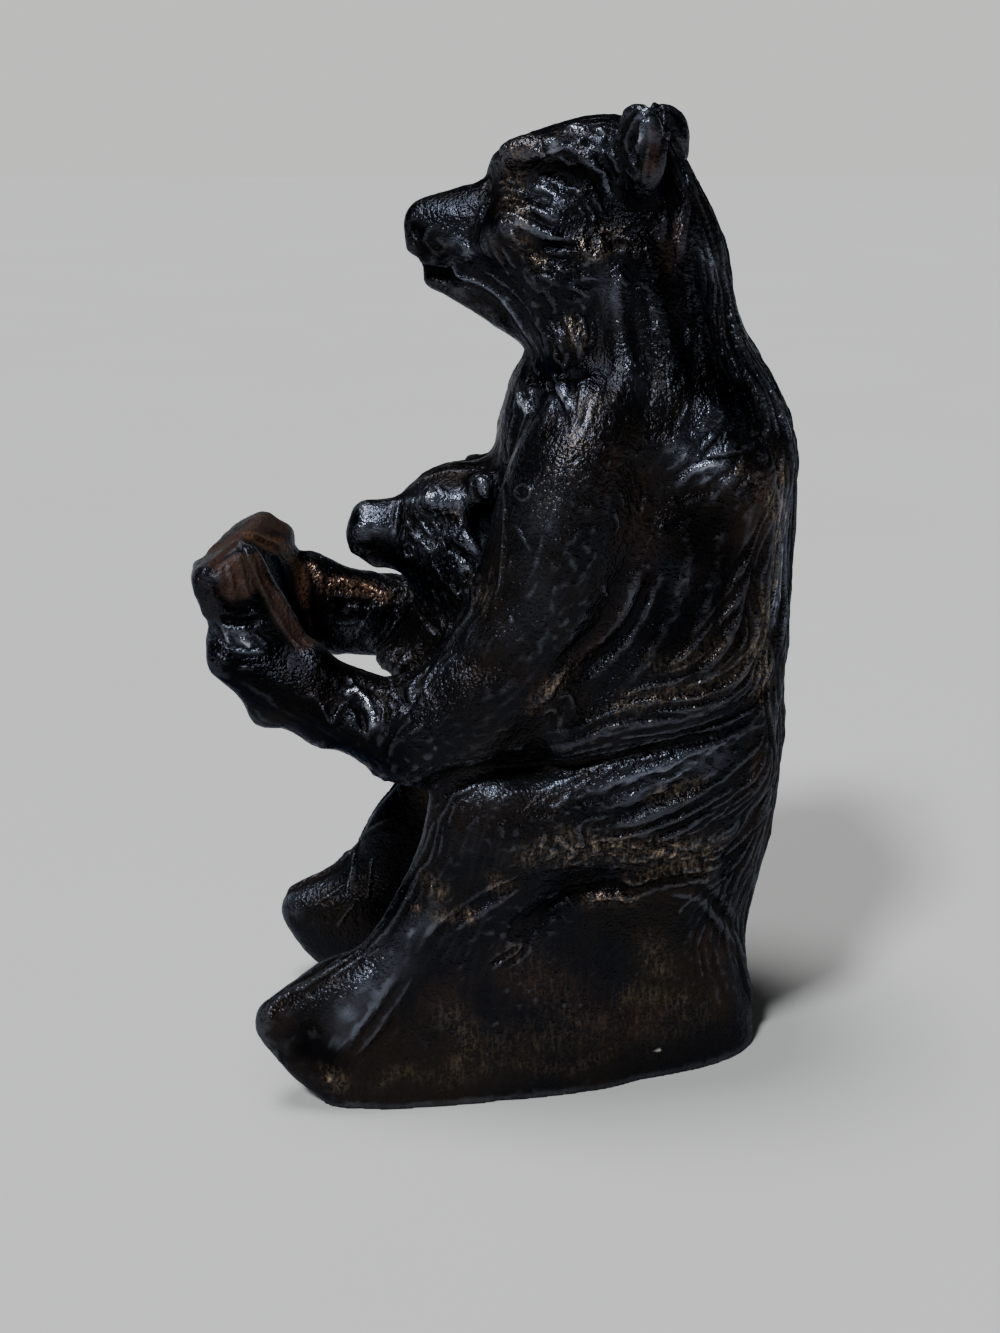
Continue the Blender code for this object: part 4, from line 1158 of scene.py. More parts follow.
@dataclass(frozen=True)
class MothersBody(SubAssembly):
    """Her chest, arms, back and haunches, with the coat that sweeps down her flank."""

    name: str = "mother's body"
    pulls: Pulls = (
        Pull((362, 766), 22, 0, 2.2, 7, 12),
        Pull((397, 781), 20, -3.6, 0.2, 5, 12),
        Pull((784, 620), 0, 0.6, 0, 12),
        Pull((557, 688), 26, 0, 0, 3.6, 12, 2.6),
        Pull((557, 712), 25, 0, 0, 4, 12, 4),
        Pull((548, 737), 24, 0, 0, 4, 12, 5),
        Pull((580, 735), 25, 0, 0, 4.5, 12, 2),
        Pull((520, 745), 24, 0, 0, 3.4, 12, 2.6),
        Pull((770, 860), -20, 1.6, 0, 9, 14),
    )
    fills: Fills = (
        Fill((600, 705), 9),
        Fill((565, 725), 8),
        Fill((625, 690), 7),
    )
    lumps: Lumps = (
        Lump((714, 410), 3, 0.8),
        Lump((675, 445), 2.4, 0.7),
        Lump((703, 466), 2, 0.5),
        Lump((766, 425), 2.2, -0.7),
        Lump((578, 372), 2, -1),
        Lump((540, 372), 1.6, -0.8),
        Lump((560, 394), 2.2, 1),
        Lump((500, 790), 3.4, 0.5),
        Lump((600, 420), 4, 0.3),
        Lump((570, 655), 3.4, -0.4),
        Lump((670, 580), 2.4, 0.35),
    )
    forms: Marks = (
        bead(1.3, 0.7, "654,536 640,567 627,598 610,628 586,649 562,673 541,700 524,717"),
        gouge(1, 0.6, "660,550 648,580 634,615 612,645 588,668 566,690"),
        gouge(0.8, 0.6, "764,711 757,717 719,735 671,745 616,755 548,764 480,768", 0.1),
        bead(0.9, 0.5, "590,808 613,801 649,787 684,770 708,762"),
        bead(0.9, 0.5, "609,825 637,822 661,813 684,801 708,787 720,782"),
        gouge(0.8, 0.6, "600,817 630,812 655,801 680,787 706,774"),
        bead(0.8, 0.45, "560,794 600,788 640,776 680,760 716,746"),
        gouge(0.8, 0.5, "640,838 675,828 705,810 728,792"),
        gouge(0.7, 0.5, "520,925 545,906 572,890 592,888 616,884 632,892 655,884 690,878 720,868", 0.2),
        bead(0.7, 0.5, "584,902 600,898 618,897 636,904"),
    )
    marks: Marks = (
        lap(0.4, 0.35, "534,341 543,361 538,395"),
        bead(0.35, 0.3, "551,351 558,361 566,367"),
        lap(0.4, 0.2, "616,490 621,500 622,512"),
        lap(0.4, 0.2, "629,503 633,512 630,524"),
        lap(0.4, 0.3, "644,490 643,503 639,514"),
        lap(0.4, 0.3, "610,512 617,524 612,538"),
        bead(0.4, 0.3, "688,471 702,466 718,461"),
        lap(0.4, 0.4, "764,412 767,430 753,440 743,447", 0.2),
        lap(0.4, 0.4, "690,464 708,458 730,455 748,450", 0.2),
        lap(0.4, 0.35, "688,396 682,414 672,430"),
        bead(0.4, 0.25, "600,583 606,591 604,600"),
        bead(0.5, 0.3, "540,722 548,710 556,712 560,724", 0.2),
        bead(0.5, 0.3, "556,700 566,694 573,702 572,714", 0.2),
        gouge(0.5, 0.4, "551,730 556,718 564,706"),
        lap(0.5, 0.3, "640,800 662,792 680,789"),
        lap(0.5, 0.4, "696,817 720,806 741,789 755,782 760,765", 0.2),
        lap(0.5, 0.4, "704,824 726,812 746,797 757,789"),
        lap(0.5, 0.4, "720,860 738,846 755,829 767,813 775,792", 0.2),
        lap(0.5, 0.4, "708,891 727,876 743,858 755,841", 0.2),
        lap(0.5, 0.4, "715,904 735,890 750,870 758,850", 0.2),
        lap(0.5, 0.4, "655,842 690,834 720,815 738,798", 0.2),
        gouge(0.4, 0.5, "487,968 495,962 506,955 520,946"),
        bead(0.4, 0.45, "388,718 400,710 413,695", 0.2),
        bead(0.4, 0.45, "394,722 408,709 420,691", 0.2),
        lap(0.4, 0.3, "389,688 400,680 416,672"),
        bead(0.4, 0.18, "512,520 520,532 527,545 535,556"),
        bead(0.4, 0.35, "505,478 505,500 504,530 502,562 498,590 489,610", 0.15),
        bead(0.4, 0.3, "492,548 490,575 482,602 462,628 440,650", 0.2),
    )
    single_marks: Marks = (
        lap(1.2, 1.1, "548,368 558,396 570,417", 0.2),
        gouge(0.8, 0.9, "531,372 536,390 534,412", 0.2),
        bead(0.9, 0.8, "523,388 521,398 528,411", 0.2),
        bead(0.2, 0.16, "639,367 655,365 666,366", 0.1),
        bead(0.2, 0.16, "667,368 668,380 665,390", 0.1),
        bead(0.2, 0.16, "650,390 660,391 666,390", 0.1),
        bead(0.28, 0.35, "523,484 530,489 530,496 523,500 516,496 516,489 523,484", 0),
        gouge(0.3, 0.4, "641,440 643,443 641,446", 0.1),
        bead(0.3, 0.4, "601,590 604,592 606,596", 0.1),
        bead(0.3, 0.4, "485,677 488,680 487,684", 0.1),
        bead(0.3, 0.4, "510,618 513,620 512,623", 0.1),
        bead(0.3, 0.4, "719,347 723,350 721,356", 0.1),
    )
    # The bright dabs paint highlights on the shoulder, arm, chest tufts, thigh top and back edge; the
    # dark dabs paint shade on the flank, behind the neck, in the chest hollows and in the undercut over
    # the block
    dabs: Dabs = (
        polish_and_highlight(3.4, 0.2, "605,385 590,400 575,430"),
        polish_and_highlight(3, 0.35, "560,470 540,520"),
        polish_and_highlight(2.6, 0.5, "640,380 655,400"),
        polish_and_highlight(2.6, 0.75, "700,420 690,455 720,470"),
        polish_and_highlight(3, 0.5, "480,785 520,784 560,780"),
        polish_and_highlight(2.4, 0.55, "600,786 640,780 690,766 715,757"),
        polish_and_highlight(2.4, 0.3, "665,575 690,590 640,600"),
        polish_and_highlight(1.6, 1, "519,394 526,408"),
        polish_and_highlight(1.6, 0.9, "556,392 566,408"),
        polish_and_highlight(2.2, 0.4, "452,655 470,635 430,680"),
        polish_and_highlight(2.2, 0.2, "530,560 540,600 510,630"),
        rust(1, 0.45, "650,545 636,575 622,606 600,636 575,660"),
        rust(2.2, 0.55, "770,470 760,500 755,540 750,590"),
        rust(1.8, 0.4, "545,690 530,680"),
        rust(2, 0.5, "757,760 750,790"),
        rust(3, 0.3, "610,450 630,520 640,590"),
        gold(1.6, 0.6, "572,668 555,685 535,705"),
        gold(1.8, 0.35, "655,665 690,660 720,645"),
        gold(1.8, 0.35, "620,705 665,695 705,688 735,670"),
        gold(1.4, 0.45, "775,560 770,600 760,640 740,672"),
        gold(2, 0.5, "530,858 545,850 565,840"),
        gold(3, 0.5, "570,856 600,848 640,850 680,852 710,850"),
        gold(2.2, 0.55, "640,876 680,864 700,872"),
        gold(1.3, 0.9, "588,899 608,897 630,900"),
        gold(1.2, 0.5, "655,798 680,788 700,782"),
        gold(1.8, 0.35, "740,470 765,490 775,520"),
        gold(1.4, 0.5, "495,880 505,890"),
        gold(2.4, 0.2, "600,400 570,450 540,500"),
        black_patina_and_painted_shade(4, 0.8, "690,520 715,570 690,610 665,640 660,590"),
        black_patina_and_painted_shade(3, 0.45, "700,660 740,620 745,560"),
        black_patina_and_painted_shade(3.4, 0.5, "690,330 700,380 740,400"),
        polish_and_highlight(2.2, 0.8, "784,500 780,560 774,620"),
        gold(2.4, 0.6, "778,480 776,540 770,600 760,690"),
        black_patina_and_painted_shade(2.6, 0.9, "580,372 540,372"),
        black_patina_and_painted_shade(1.5, 0.7, "540,912 575,893 620,887 700,872"),
        black_patina_and_painted_shade(3.2, 0.9, "720,560 690,545 715,525"),
        smooth(3, 0.85, "620,380 590,420 560,470 535,520 520,570"),
        smooth(2.6, 0.7, "530,540 530,580 560,600"),
        smooth(2.6, 0.3, "590,775 640,768 690,752"),
        smooth(2.6, 0.8, "490,785 520,780 545,782"),
        crumple(2.6, 1, "480,812 500,822 508,835"),
        crumple(3, 0.8, "640,470 650,520 640,560"),
        crumple(3, 0.7, "690,430 720,450 700,480"),
        crumple(3, 0.6, "590,500 580,550 560,620 670,580 690,600"),
        crumple(3.4, 1, "560,850 600,852 640,860 700,855"),
        crumple(2.6, 0.9, "520,925 550,905 500,935 600,895"),
        crumple(3, 0.5, "620,400 640,360 600,440"),
    )
    guides: Guides = (
        strand("742,345 762,385 780,430 790,475"),
        lock("722,365 735,400 738,430 720,460 690,480"),
        lock("765,420 758,450 735,470 700,495"),
        fine("690,400 680,430 662,460"),
        strand("792,490 790,560 784,640 780,700"),
        fine("777,464 753,491 733,509 700,535"),
        strand("777,505 764,532 750,567 736,608 719,635 699,656"),
        strand("784,539 781,574 770,618 757,652 731,680 699,694 651,700"),
        strand("783,620 776,660 762,690 730,712 680,727 616,738"),
        fine("750,520 725,555 700,590 670,625 640,660"),
        fine("700,520 675,560 655,600 635,640 610,665"),
        fine("720,600 690,630 655,650 610,675 575,705"),
        fine("640,400 632,450 630,500 615,550 595,600 565,640"),
        fine("600,440 575,490 560,540 545,590 515,640"),
        fine("560,430 535,480 512,540 500,590 480,640 450,690"),
        fine("560,660 530,690 500,710 460,730"),
        fine("560,730 500,745 440,750 400,742"),
        tuft("390,740 395,765 405,785"),
        tuft("440,750 430,765 420,785"),
        strand("488,600 465,625 440,655 415,685 395,715"),
        strand("430,640 412,655 398,672"),
        lock("532,345 538,370 530,400 522,425"),
        lock("570,350 566,380 560,410"),
        tuft("760,725 720,748 670,765 615,785 560,800"),
        strand("765,755 735,790 690,815 640,832 600,836"),
        tuft("560,845 600,850 650,855 690,860"),
        strand("775,780 760,820 735,850 715,864"),
        strand("778,730 776,770 768,820 755,860 742,895 730,915"),
        fine("540,785 500,800 465,830 440,870 415,920"),
        fine("600,850 550,865 500,890 460,930"),
    )


@dataclass(frozen=True)
class Legs(SubAssembly):
    """Her shins and broad smooth feet, and the plain block under the haunches."""

    name: str = "legs and block"
    pulls: Pulls = (
        Pull((386, 818), -20, -2.6, 0, 7, 12),
        Pull((366, 850), -20, -0.8, -0.4, 6, 12),
        Pull((330, 862), -20, 0, -1.8, 5.5, 12),
        Pull((762, 888), -20, 0.7, 0, 5, 14),
        Pull((262, 1016), 24, -1.5, 0.2, 6, 14),
        Pull((300, 985), 22, 0, 1.3, 6, 12),
        Pull((330, 968), 22, -0.4, 1.6, 5, 12),
        Pull((757, 970), -24, 1.4, 0, 8, 12),
        Pull((752, 1045), 26, 0.6, 0, 5, 12),
        Pull((748, 1000), 26, 0.5, 0, 5, 12),
    )
    lumps: Lumps = (
        Lump((366, 985), 3, 0.6),
        Lump((346, 1010), 3.2, 0.7),
        Lump((334, 1040), 2.8, 0.5),
        Lump((302, 1049), 1.6, -0.6),
        Lump((313, 1033), 1.2, 0.35),
        Lump((283, 1030), 2.2, -0.5),
        Lump((520, 923), 2, -0.6),
    )
    forms: Marks = (
        gouge(1, 0.45, "412,962 398,984 380,1012 364,1034 351,1050 342,1063"),
        gouge(0.8, 0.25, "396,1008 388,1030 370,1048 352,1062"),
        gouge(0.9, 0.5, "540,872 500,892 462,915 438,934 420,956"),
        bead(0.9, 0.6, "706,905 715,917 724,928 734,940 741,957 746,976 750,994 753,1018 755,1034", 0.15),
        gouge(1, 0.6, "655,893 680,888 705,893 716,905 727,922 733,945"),
        bead(0.8, 0.5, "262,1018 272,1004 290,992 312,981 334,966 352,952", 0.15),
    )
    marks: Marks = (
        bead(0.4, 0.5, "483,780 467,790 454,795 449,806 441,819 437,838 432,856 424,872", 0.15),
        bead(0.4, 0.55,
             "443,811 434,825 429,840 423,854 416,867 403,888 395,904 382,925 371,941 348,960 322,975 "
             "303,985", 0.1),
        bead(0.4, 0.5, "431,856 421,872 413,890 401,912 389,930 369,951 347,967 323,983", 0.1),
        bead(0.35, 0.4, "426,862 412,884 404,905 388,930 364,954", 0.15),
        bead(0.35, 0.35, "448,812 443,828 441,845 436,862"),
        bead(0.35, 0.35, "458,800 452,812 448,826"),
        bead(0.35, 0.3, "395,925 380,946 359,964"),
        bead(0.4, 0.3, "274,1046 279,1058 283,1069"),
        gouge(0.5, 0.4, "500,968 520,955 528,940"),
    )
    single_marks: Marks = (
        bead(0.45, 0.5, "398,816 382,822 364,835 356,851 353,867 348,888 345,904", 0.15),
        bead(0.4, 0.4, "350,880 330,895 312,905"),
        bead(0.4, 0.4, "358,900 345,915 335,930"),
        bead(0.4, 0.4, "372,850 370,880 366,905"),
        lap(0.5, 0.5, "382,780 386,792 391,802"),
        lap(0.5, 0.5, "397,788 399,798 401,808"),
    )
    # The bright dabs paint highlights on the foot and the shin; the dark dabs paint shade in the hollow
    # by the toes and behind the shin
    dabs: Dabs = (
        smooth(3, 0.95, "392,968 366,985 346,1010 334,1045"),
        smooth(3, 0.6, "280,1010 290,1040 300,1060"),
        polish_and_highlight(3.6, 0.5, "390,958 366,988 352,1010 344,1026"),
        polish_and_highlight(2, 0.4, "400,940 430,920"),
        polish_and_highlight(1.8, 0.5, "290,895 310,890 330,880"),
        gold(1.2, 0.9, "330,1078 345,1086 325,1066"),
        gold(1.6, 0.4, "430,880 440,895"),
        gold(0.9, 1, "416,909"),
        gold(1.4, 0.6, "440,915 470,915"),
        gold(2.6, 0.3, "655,955 665,975 650,940"),
        gold(2.6, 0.3, "630,995 680,1000"),
        gold(4, 0.16, "520,960 560,1000 600,1030 700,1010 480,1050 540,1040"),
        gold(2.4, 0.3, "450,1015 470,1040 455,1070"),
        gold(1.3, 0.24, "380,1084 402,1070 450,1082 505,1062 560,1071 612,1050"),
        rust(2.4, 0.35, "640,1015 620,1035 650,1020"),
        rust(2.4, 0.4, "720,1000 725,960 700,935"),
        rust(2.6, 0.35, "460,1000 480,1030 450,1050"),
        rust(2, 0.3, "275,1010 290,1000 265,1030"),
        black_patina_and_painted_shade(3, 0.9, "305,1050 330,1060 310,1035"),
        black_patina_and_painted_shade(3.4, 0.9, "400,850 400,890 380,910"),
        rust(4, 0.3, "430,1000 560,980 600,1020"),
        crumple(2.4, 0.6, "500,930 530,915"),
        crumple(5, 0.5, "600,960 500,1000 650,1000 700,960 440,1050"),
        chip(0.6, 1, "657,1050"),
    )
    guides: Guides = (
        fine("445,830 430,870 410,910 385,950 350,975"),
        fine("430,930 400,960 370,1000 345,1040"),
        strand("755,850 742,880 730,905 735,930"),
    )


@dataclass(frozen=True)
class Cub(SubAssembly):
    """The cub: boxy polished muzzle with painted highlights, small eyes, curls on its cheeks and an ear
    by her arm.
    """

    name: str = "cub"
    pulls: Pulls = (
        Pull((352, 512), 4, 0.2, 0, 2.4),
        Pull((362, 498), 4, -0.2, 0.7, 1.8),
        Pull((356, 536), 4, -0.9, -0.3, 1.8),
        Pull((358, 552), 4, -0.9, -0.5, 1.8),
        Pull((376, 562), 4, -0.2, -1.1, 2.4),
        Pull((450, 468), 4, 0, 0.5, 4),
    )
    lumps: Lumps = (
        Lump((353, 518), 1.2, -0.4),
        Lump((380, 545), 2, -0.4),
        Lump((453, 519), 0.8, -0.9),
        Lump((459, 501), 1.5, 0.6),
        Lump((483, 520), 2, -1.4),
        Lump((484, 488), 1.4, 0.5),
        Lump((430, 498), 1.1, 0.5),
        Lump((410, 502), 1, 0.5),
        Lump((408, 512), 0.8, 0.3),
        Lump((464, 567), 1.6, 0.7),
        Lump((478, 592), 2.2, 0.5),
        Lump((470, 545), 1.3, 0.4),
        Lump((436, 540), 1.2, -0.4),
        Lump((414, 536), 1.2, 0.3),
    )
    forms: Marks = (
        gouge(0.45, 0.7, "404,499 402,514 400,529 397,541", 0.15),
        bead(0.5, 0.5, "400,503 398,516 396,530"),
        gouge(0.5, 0.6, "355,545 364,546 376,547"),
        gouge(0.6, 0.6, "443,536 452,546 464,553 476,563", 0.2),
        bead(0.65, 0.65, "459,528 466,537 475,547 483,561", 0.2),
        gouge(0.45, 0.6, "473,479 475,490 479,500", 0.15),
        bead(0.5, 0.5, "480,477 484,488 489,500", 0.2),
    )
    marks: Marks = (
        bead(0.32, 0.35, "416,483 426,478 445,472 476,470 492,464", 0.15),
        bead(0.45, 0.5, "420,521 426,528 433,538", 0.2),
        bead(0.36, 0.4, "432,520 437,526 441,534"),
        bead(0.3, 0.4, "404,546 409,543 414,547 414,553 408,556 404,552 404,546", 0),
        bead(0.3, 0.4, "415,541 419,539 423,541 423,546", 0.15),
        bead(0.32, 0.35, "408,531 412,534 414,540"),
        bead(0.32, 0.35, "405,518 409,523 408,530"),
        bead(0.32, 0.4, "423,506 427,502 428,494 432,488 438,488 441,493", 0.15),
        bead(0.32, 0.35, "410,497 413,502 412,510 415,515"),
        gouge(0.32, 0.35, "418,500 421,508 427,513 434,514"),
        gouge(0.32, 0.35, "434,508 442,518 447,530 451,540"),
        bead(0.3, 0.45, "449,514 453,511 458,515", 0.15),
        bead(0.36, 0.4, "442,540 446,546 444,552"),
        bead(0.36, 0.35, "424,546 430,551 437,549"),
        bead(0.36, 0.4, "434,564 440,573 445,583", 0.2),
        bead(0.3, 0.3, "430,592 434,590 435,596 431,599"),
        bead(0.4, 0.35, "402,580 412,592 420,603 427,615 428,632", 0.2),
        bead(0.3, 0.3, "408,585 416,598 418,612"),
        bead(0.35, 0.3, "452,585 459,595 462,606"),
        bead(0.35, 0.3, "404,634 396,652 388,671", 0.2),
        bead(0.35, 0.3, "414,640 404,657 394,674", 0.2),
        bead(0.35, 0.3, "424,646 414,662 402,678", 0.2),
    )
    # The bright dabs paint highlights on the muzzle, cheeks, brow and chin; the dark dabs blacken the
    # nose and paint shade in the eye hollow and under the muzzle and chin
    dabs: Dabs = (
        smooth(2.6, 0.95, "362,512 380,512 394,515"),
        smooth(2, 0.9, "364,530 380,532"),
        smooth(2, 0.6, "458,500 440,480 465,480"),
        smooth(1.8, 0.7, "465,540 478,555 464,567"),
        polish_and_highlight(1.8, 0.75, "362,508 378,508 392,508"),
        polish_and_highlight(1.6, 1, "366,526 380,528 392,528"),
        polish_and_highlight(1.6, 0.75, "456,494 464,503 458,510"),
        polish_and_highlight(2.6, 0.5, "420,490 440,500 440,530 425,545"),
        polish_and_highlight(1, 0.9, "410,500 430,497"),
        polish_and_highlight(1, 0.9, "424,527 432,536"),
        polish_and_highlight(1.2, 1, "466,540 474,548 480,558"),
        polish_and_highlight(1.4, 0.8, "458,563 470,570"),
        polish_and_highlight(1, 0.9, "484,482 488,496"),
        gold(0.8, 0.9, "449,514 456,513"),
        gold(2, 0.2, "475,590 485,600 470,580"),
        black_patina_and_painted_shade(1.8, 1, "483,512 484,528"),
        black_patina_and_painted_shade(2.2, 1, "372,548 390,552 400,565"),
        black_patina_and_painted_shade(1, 1, "354,515 354,530"),
        black_patina_and_painted_shade(3, 0.8, "410,575 440,590 450,560"),
        crumple(2, 1, "412,545 430,540 420,515 415,500"),
        crumple(2.4, 0.8, "430,590 450,600 478,590"),
    )
    guides: Guides = (
        fine("412,486 440,478 470,478"),
        curl("408,508 412,530 415,550"),
        curl("432,515 440,540 446,560"),
        tuft("460,560 470,580 475,600"),
        tuft("420,580 432,600 440,620"),
    )


@dataclass(frozen=True)
class BookAndPaws(SubAssembly):
    """The open book with its worn red-brown leaves, and the forearms and paws that hold it."""

    name: str = "book and paws"
    twin: Twin = Twin.NONE
    pulls: Pulls = (
        Pull((200, 586), 20, -1.9, -1, 4, 10),
        Pull((214, 612), 20, -1.6, -0.8, 4, 10),
        Pull((242, 540), 20, -0.4, 0.6, 3, 10),
        Pull((262, 522), -18, 0.4, 1.6, 5, 14),
        Pull((288, 540), -18, 1, 1.2, 4, 14),
        Pull((320, 560), -18, 0, 1.4, 5, 10),
        Pull((350, 645), -18, 0, -1.8, 4, 9),
        Pull((331, 648), -14, 0, -2, 3, 14),
        Pull((408, 668), 10, -2.8, 0, 3, 30),
        Pull((402, 668), 6, -3.6, 0.2, 4.6, 16),
        Pull((316, 660), 20, 0, 1.7, 2.8, 10),
        Pull((212, 621), 20, -1.2, 0, 2.4, 12),
        Pull((285, 530), -18, 1, 0.6, 2.6, 12),
        Pull((308, 552), -18, 0, 1, 3.2, 12),
        Pull((376, 654), -12, 0, -1.2, 4, 9),
        Pull((318, 650), -8, 0, -1.8, 3.4, 12),
        Pull((262, 715), 24, -0.6, -1.2, 2.4, 10),
        Pull((298, 730), 24, 0, 1.1, 3, 10),
        Pull((340, 756), 24, 0, 0.8, 3, 10),
    )
    lumps: Lumps = (
        Lump((228, 634), 1.4, 0.5),
        Lump((245, 640), 1.2, 0.4),
        Lump((240, 612), 2, -0.9),
        Lump((272, 580), 2.4, -0.8),
        Lump((300, 650), 1.8, 0.5),
        Lump((323, 744), 1, 0.9),
        Lump((343, 607), 1, -0.8),
        Lump((393, 616), 1, -0.7),
        Lump((358, 607), 0.7, 0.5),
        Lump((372, 640), 1.8, 0.4),
        Lump((335, 700), 2, -0.4),
        Lump((362, 718), 1.6, -0.7),
        Lump((288, 700), 2, -0.4),
    )
    forms: Marks = (
        gouge(0.7, 0.9, "218,618 232,622 248,622 262,618", 0.15),
        bead(0.7, 0.6, "328,582 345,582 362,585 378,592 396,601", 0.2),
        bead(0.6, 0.5, "312,562 318,572 324,584"),
        gouge(0.6, 0.6, "330,598 345,602 362,602 380,607", 0.2),
        bead(0.5, 0.4, "240,540 252,564 264,592 277,617 293,642 311,659", 0.12),
        gouge(0.4, 0.25, "238,546 250,570 261,596 273,618"),
        bead(0.6, 0.5, "196,582 210,565 226,551 240,539", 0.15),
        bead(0.6, 0.4, "232,535 250,534 266,540 284,548", 0.2),
    )
    marks: Marks = (
        bead(0.85, 0.85, "342,699 349,693 357,692 366,699 372,713 376,731", 0.12),
        bead(0.36, 0.45, "350,677 354,685 360,692", 0.15),
        bead(0.36, 0.4, "363,692 370,690 377,684", 0.2),
        bead(0.36, 0.4, "368,691 379,702 384,714 380,728", 0.2),
        gouge(0.5, 0.5, "348,703 356,708 362,719 365,733", 0.15),
        bead(0.42, 0.6, "318,701 325,711 332,722 338,711 345,702", 0.12),
        bead(0.36, 0.35, "306,696 314,697 320,703"),
        bead(0.3, 0.3, "322,668 326,676 324,684"),
        bead(0.3, 0.3, "334,676 338,684 336,692"),
        bead(0.36, 0.4, "228,648 244,652 266,650", 0.2),
        bead(0.36, 0.4, "220,625 226,634 229,645", 0.2),
        bead(0.36, 0.4, "230,630 240,629 250,626", 0.2),
        bead(0.36, 0.35, "244,640 249,645 247,650"),
        bead(0.36, 0.35, "252,632 262,640 270,648"),
        bead(0.3, 0.35, "229,608 236,611 243,607", 0.2),
        bead(0.36, 0.3, "232,670 248,668 262,670"),
        bead(0.35, 0.35, "336,603 343,601 350,606 346,612 338,611", 0.15),
        bead(0.35, 0.35, "386,612 394,611 401,615"),
        lap(0.4, 0.3, "334,624 350,625 362,622"),
        lap(0.4, 0.3, "348,645 355,640 364,638"),
        lap(0.4, 0.3, "322,615 332,618 345,617"),
        gouge(0.28, 0.25, "222,566 226,580 228,598"),
        gouge(0.28, 0.25, "232,560 237,578 240,600"),
        gouge(0.28, 0.25, "243,560 248,578 251,598"),
        gouge(0.28, 0.2, "212,576 215,588 217,600"),
        bead(0.28, 0.25, "227,562 231,580 233,596"),
        bead(0.28, 0.25, "238,556 243,574 246,594"),
    )
    # The bright dabs paint highlights on the book's corner, the paws and the forearm's crest; the dark
    # dabs paint shade in the book's gutter, under its edge, between the far paw's fingers and under the
    # forearms, and blacken the book's near corner
    dabs: Dabs = (
        book(1.5, 1, "210,564 222,555 238,541"),
        book(2, 1, "225,570 240,565 245,585 232,590"),
        book(2.6, 1, "215,550 240,535 265,520 280,525"),
        book(2.2, 1, "256,536 270,543 284,548 294,562 300,580 303,600"),
        book(1.7, 1, "257,562 270,590 285,617 303,645"),
        book(1.8, 0.5, "310,620 312,640"),
        umber(1, 0.5, "232,566 238,582 246,594"),
        rust(1.6, 0.4, "312,625 320,635"),
        umber(1.8, 1, "252,538 268,544 284,548 294,562 301,580 304,598"),
        black_patina_and_painted_shade(1.8, 1, "204,592 212,602 222,606"),
        black_patina_and_painted_shade(2.2, 1, "226,612 240,612 252,614 258,606"),
        black_patina_and_painted_shade(1.1, 1, "277,561 283,578 290,594 297,612"),
        black_patina_and_painted_shade(2.4, 1, "198,580 202,592 206,604 212,614"),
        black_patina_and_painted_shade(3.4, 0.85, "225,665 250,680 280,695 310,712 330,735 350,745 385,755"),
        black_patina_and_painted_shade(1.4, 1, "343,608 394,616"),
        polish_and_highlight(1, 1, "212,577 224,572"),
        polish_and_highlight(1.4, 1.3, "216,632 230,638 246,644 262,648"),
        polish_and_highlight(1.3, 1.6, "350,690 362,696 372,708 374,722"),
        polish_and_highlight(1.6, 0.6, "330,625 350,630 385,600"),
        black_patina_and_painted_shade(3, 0.8, "285,650 305,665 330,680 350,690"),
        copper(1.3, 1, "330,584 345,584 355,588"),
        copper(1.2, 1, "362,587 374,591 384,597"),
        copper(1.1, 0.5, "313,566 318,576 322,588"),
        smooth(3, 1, "250,650 295,660 320,680 350,685 380,690"),
        smooth(2.4, 0.9, "215,655 245,665 290,700 330,735"),
        smooth(2.6, 0.5, "330,610 370,620 400,620"),
        crumple(1.8, 0.9, "345,605 365,610 330,590 370,590"),
        crumple(2, 0.9, "230,575 245,590 210,590"),
        crumple(1.6, 0.9, "310,690 325,700"),
    )
    guides: Guides = (
        fine("240,680 275,705 310,725 345,745"),
        fine("300,670 340,690 380,700 420,700"),
    )


class ShaderValue:
    """A number on a shader socket, whose maths is written as Python expressions."""

    def __init__(self, tree: "NodeTree", socket: bpy.types.NodeSocket) -> None:
        """Wraps a socket of one of the tree's nodes."""
        self.tree = tree
        self.socket = socket

    def __add__(self, other: "ShaderValue | float") -> "ShaderValue":
        """Adds."""
        return self.tree.maths("ADD", self, other)

    def __sub__(self, other: "ShaderValue | float") -> "ShaderValue":
        """Subtracts."""
        return self.tree.maths("SUBTRACT", self, other)

    def __mul__(self, other: "ShaderValue | float") -> "ShaderValue":
        """Multiplies."""
        return self.tree.maths("MULTIPLY", self, other)

    def __rsub__(self, other: float) -> "ShaderValue":
        """Subtracts from a plain number."""
        return self.tree.maths("SUBTRACT", other, self)

    __radd__ = __add__
    __rmul__ = __mul__

    def limited(self) -> "ShaderValue":
        """Keeps the number between 0 and 1."""
        return self.tree.maths("ADD", self, 0.0, clamp=True)

    def larger(self, other: "ShaderValue | float") -> "ShaderValue":
        """Takes the larger of two numbers."""
        return self.tree.maths("MAXIMUM", self, other)

    def band(self, low: float, high: float) -> "ShaderValue":
        """Turns the range from low to high into 0 to 1, with soft ends."""
        node = self.tree.node(
            "ShaderNodeMapRange",
            {"interpolation_type": "SMOOTHSTEP"},
            {"Value": self, "From Min": low, "From Max": high},
        )
        return ShaderValue(self.tree, node.outputs["Result"])


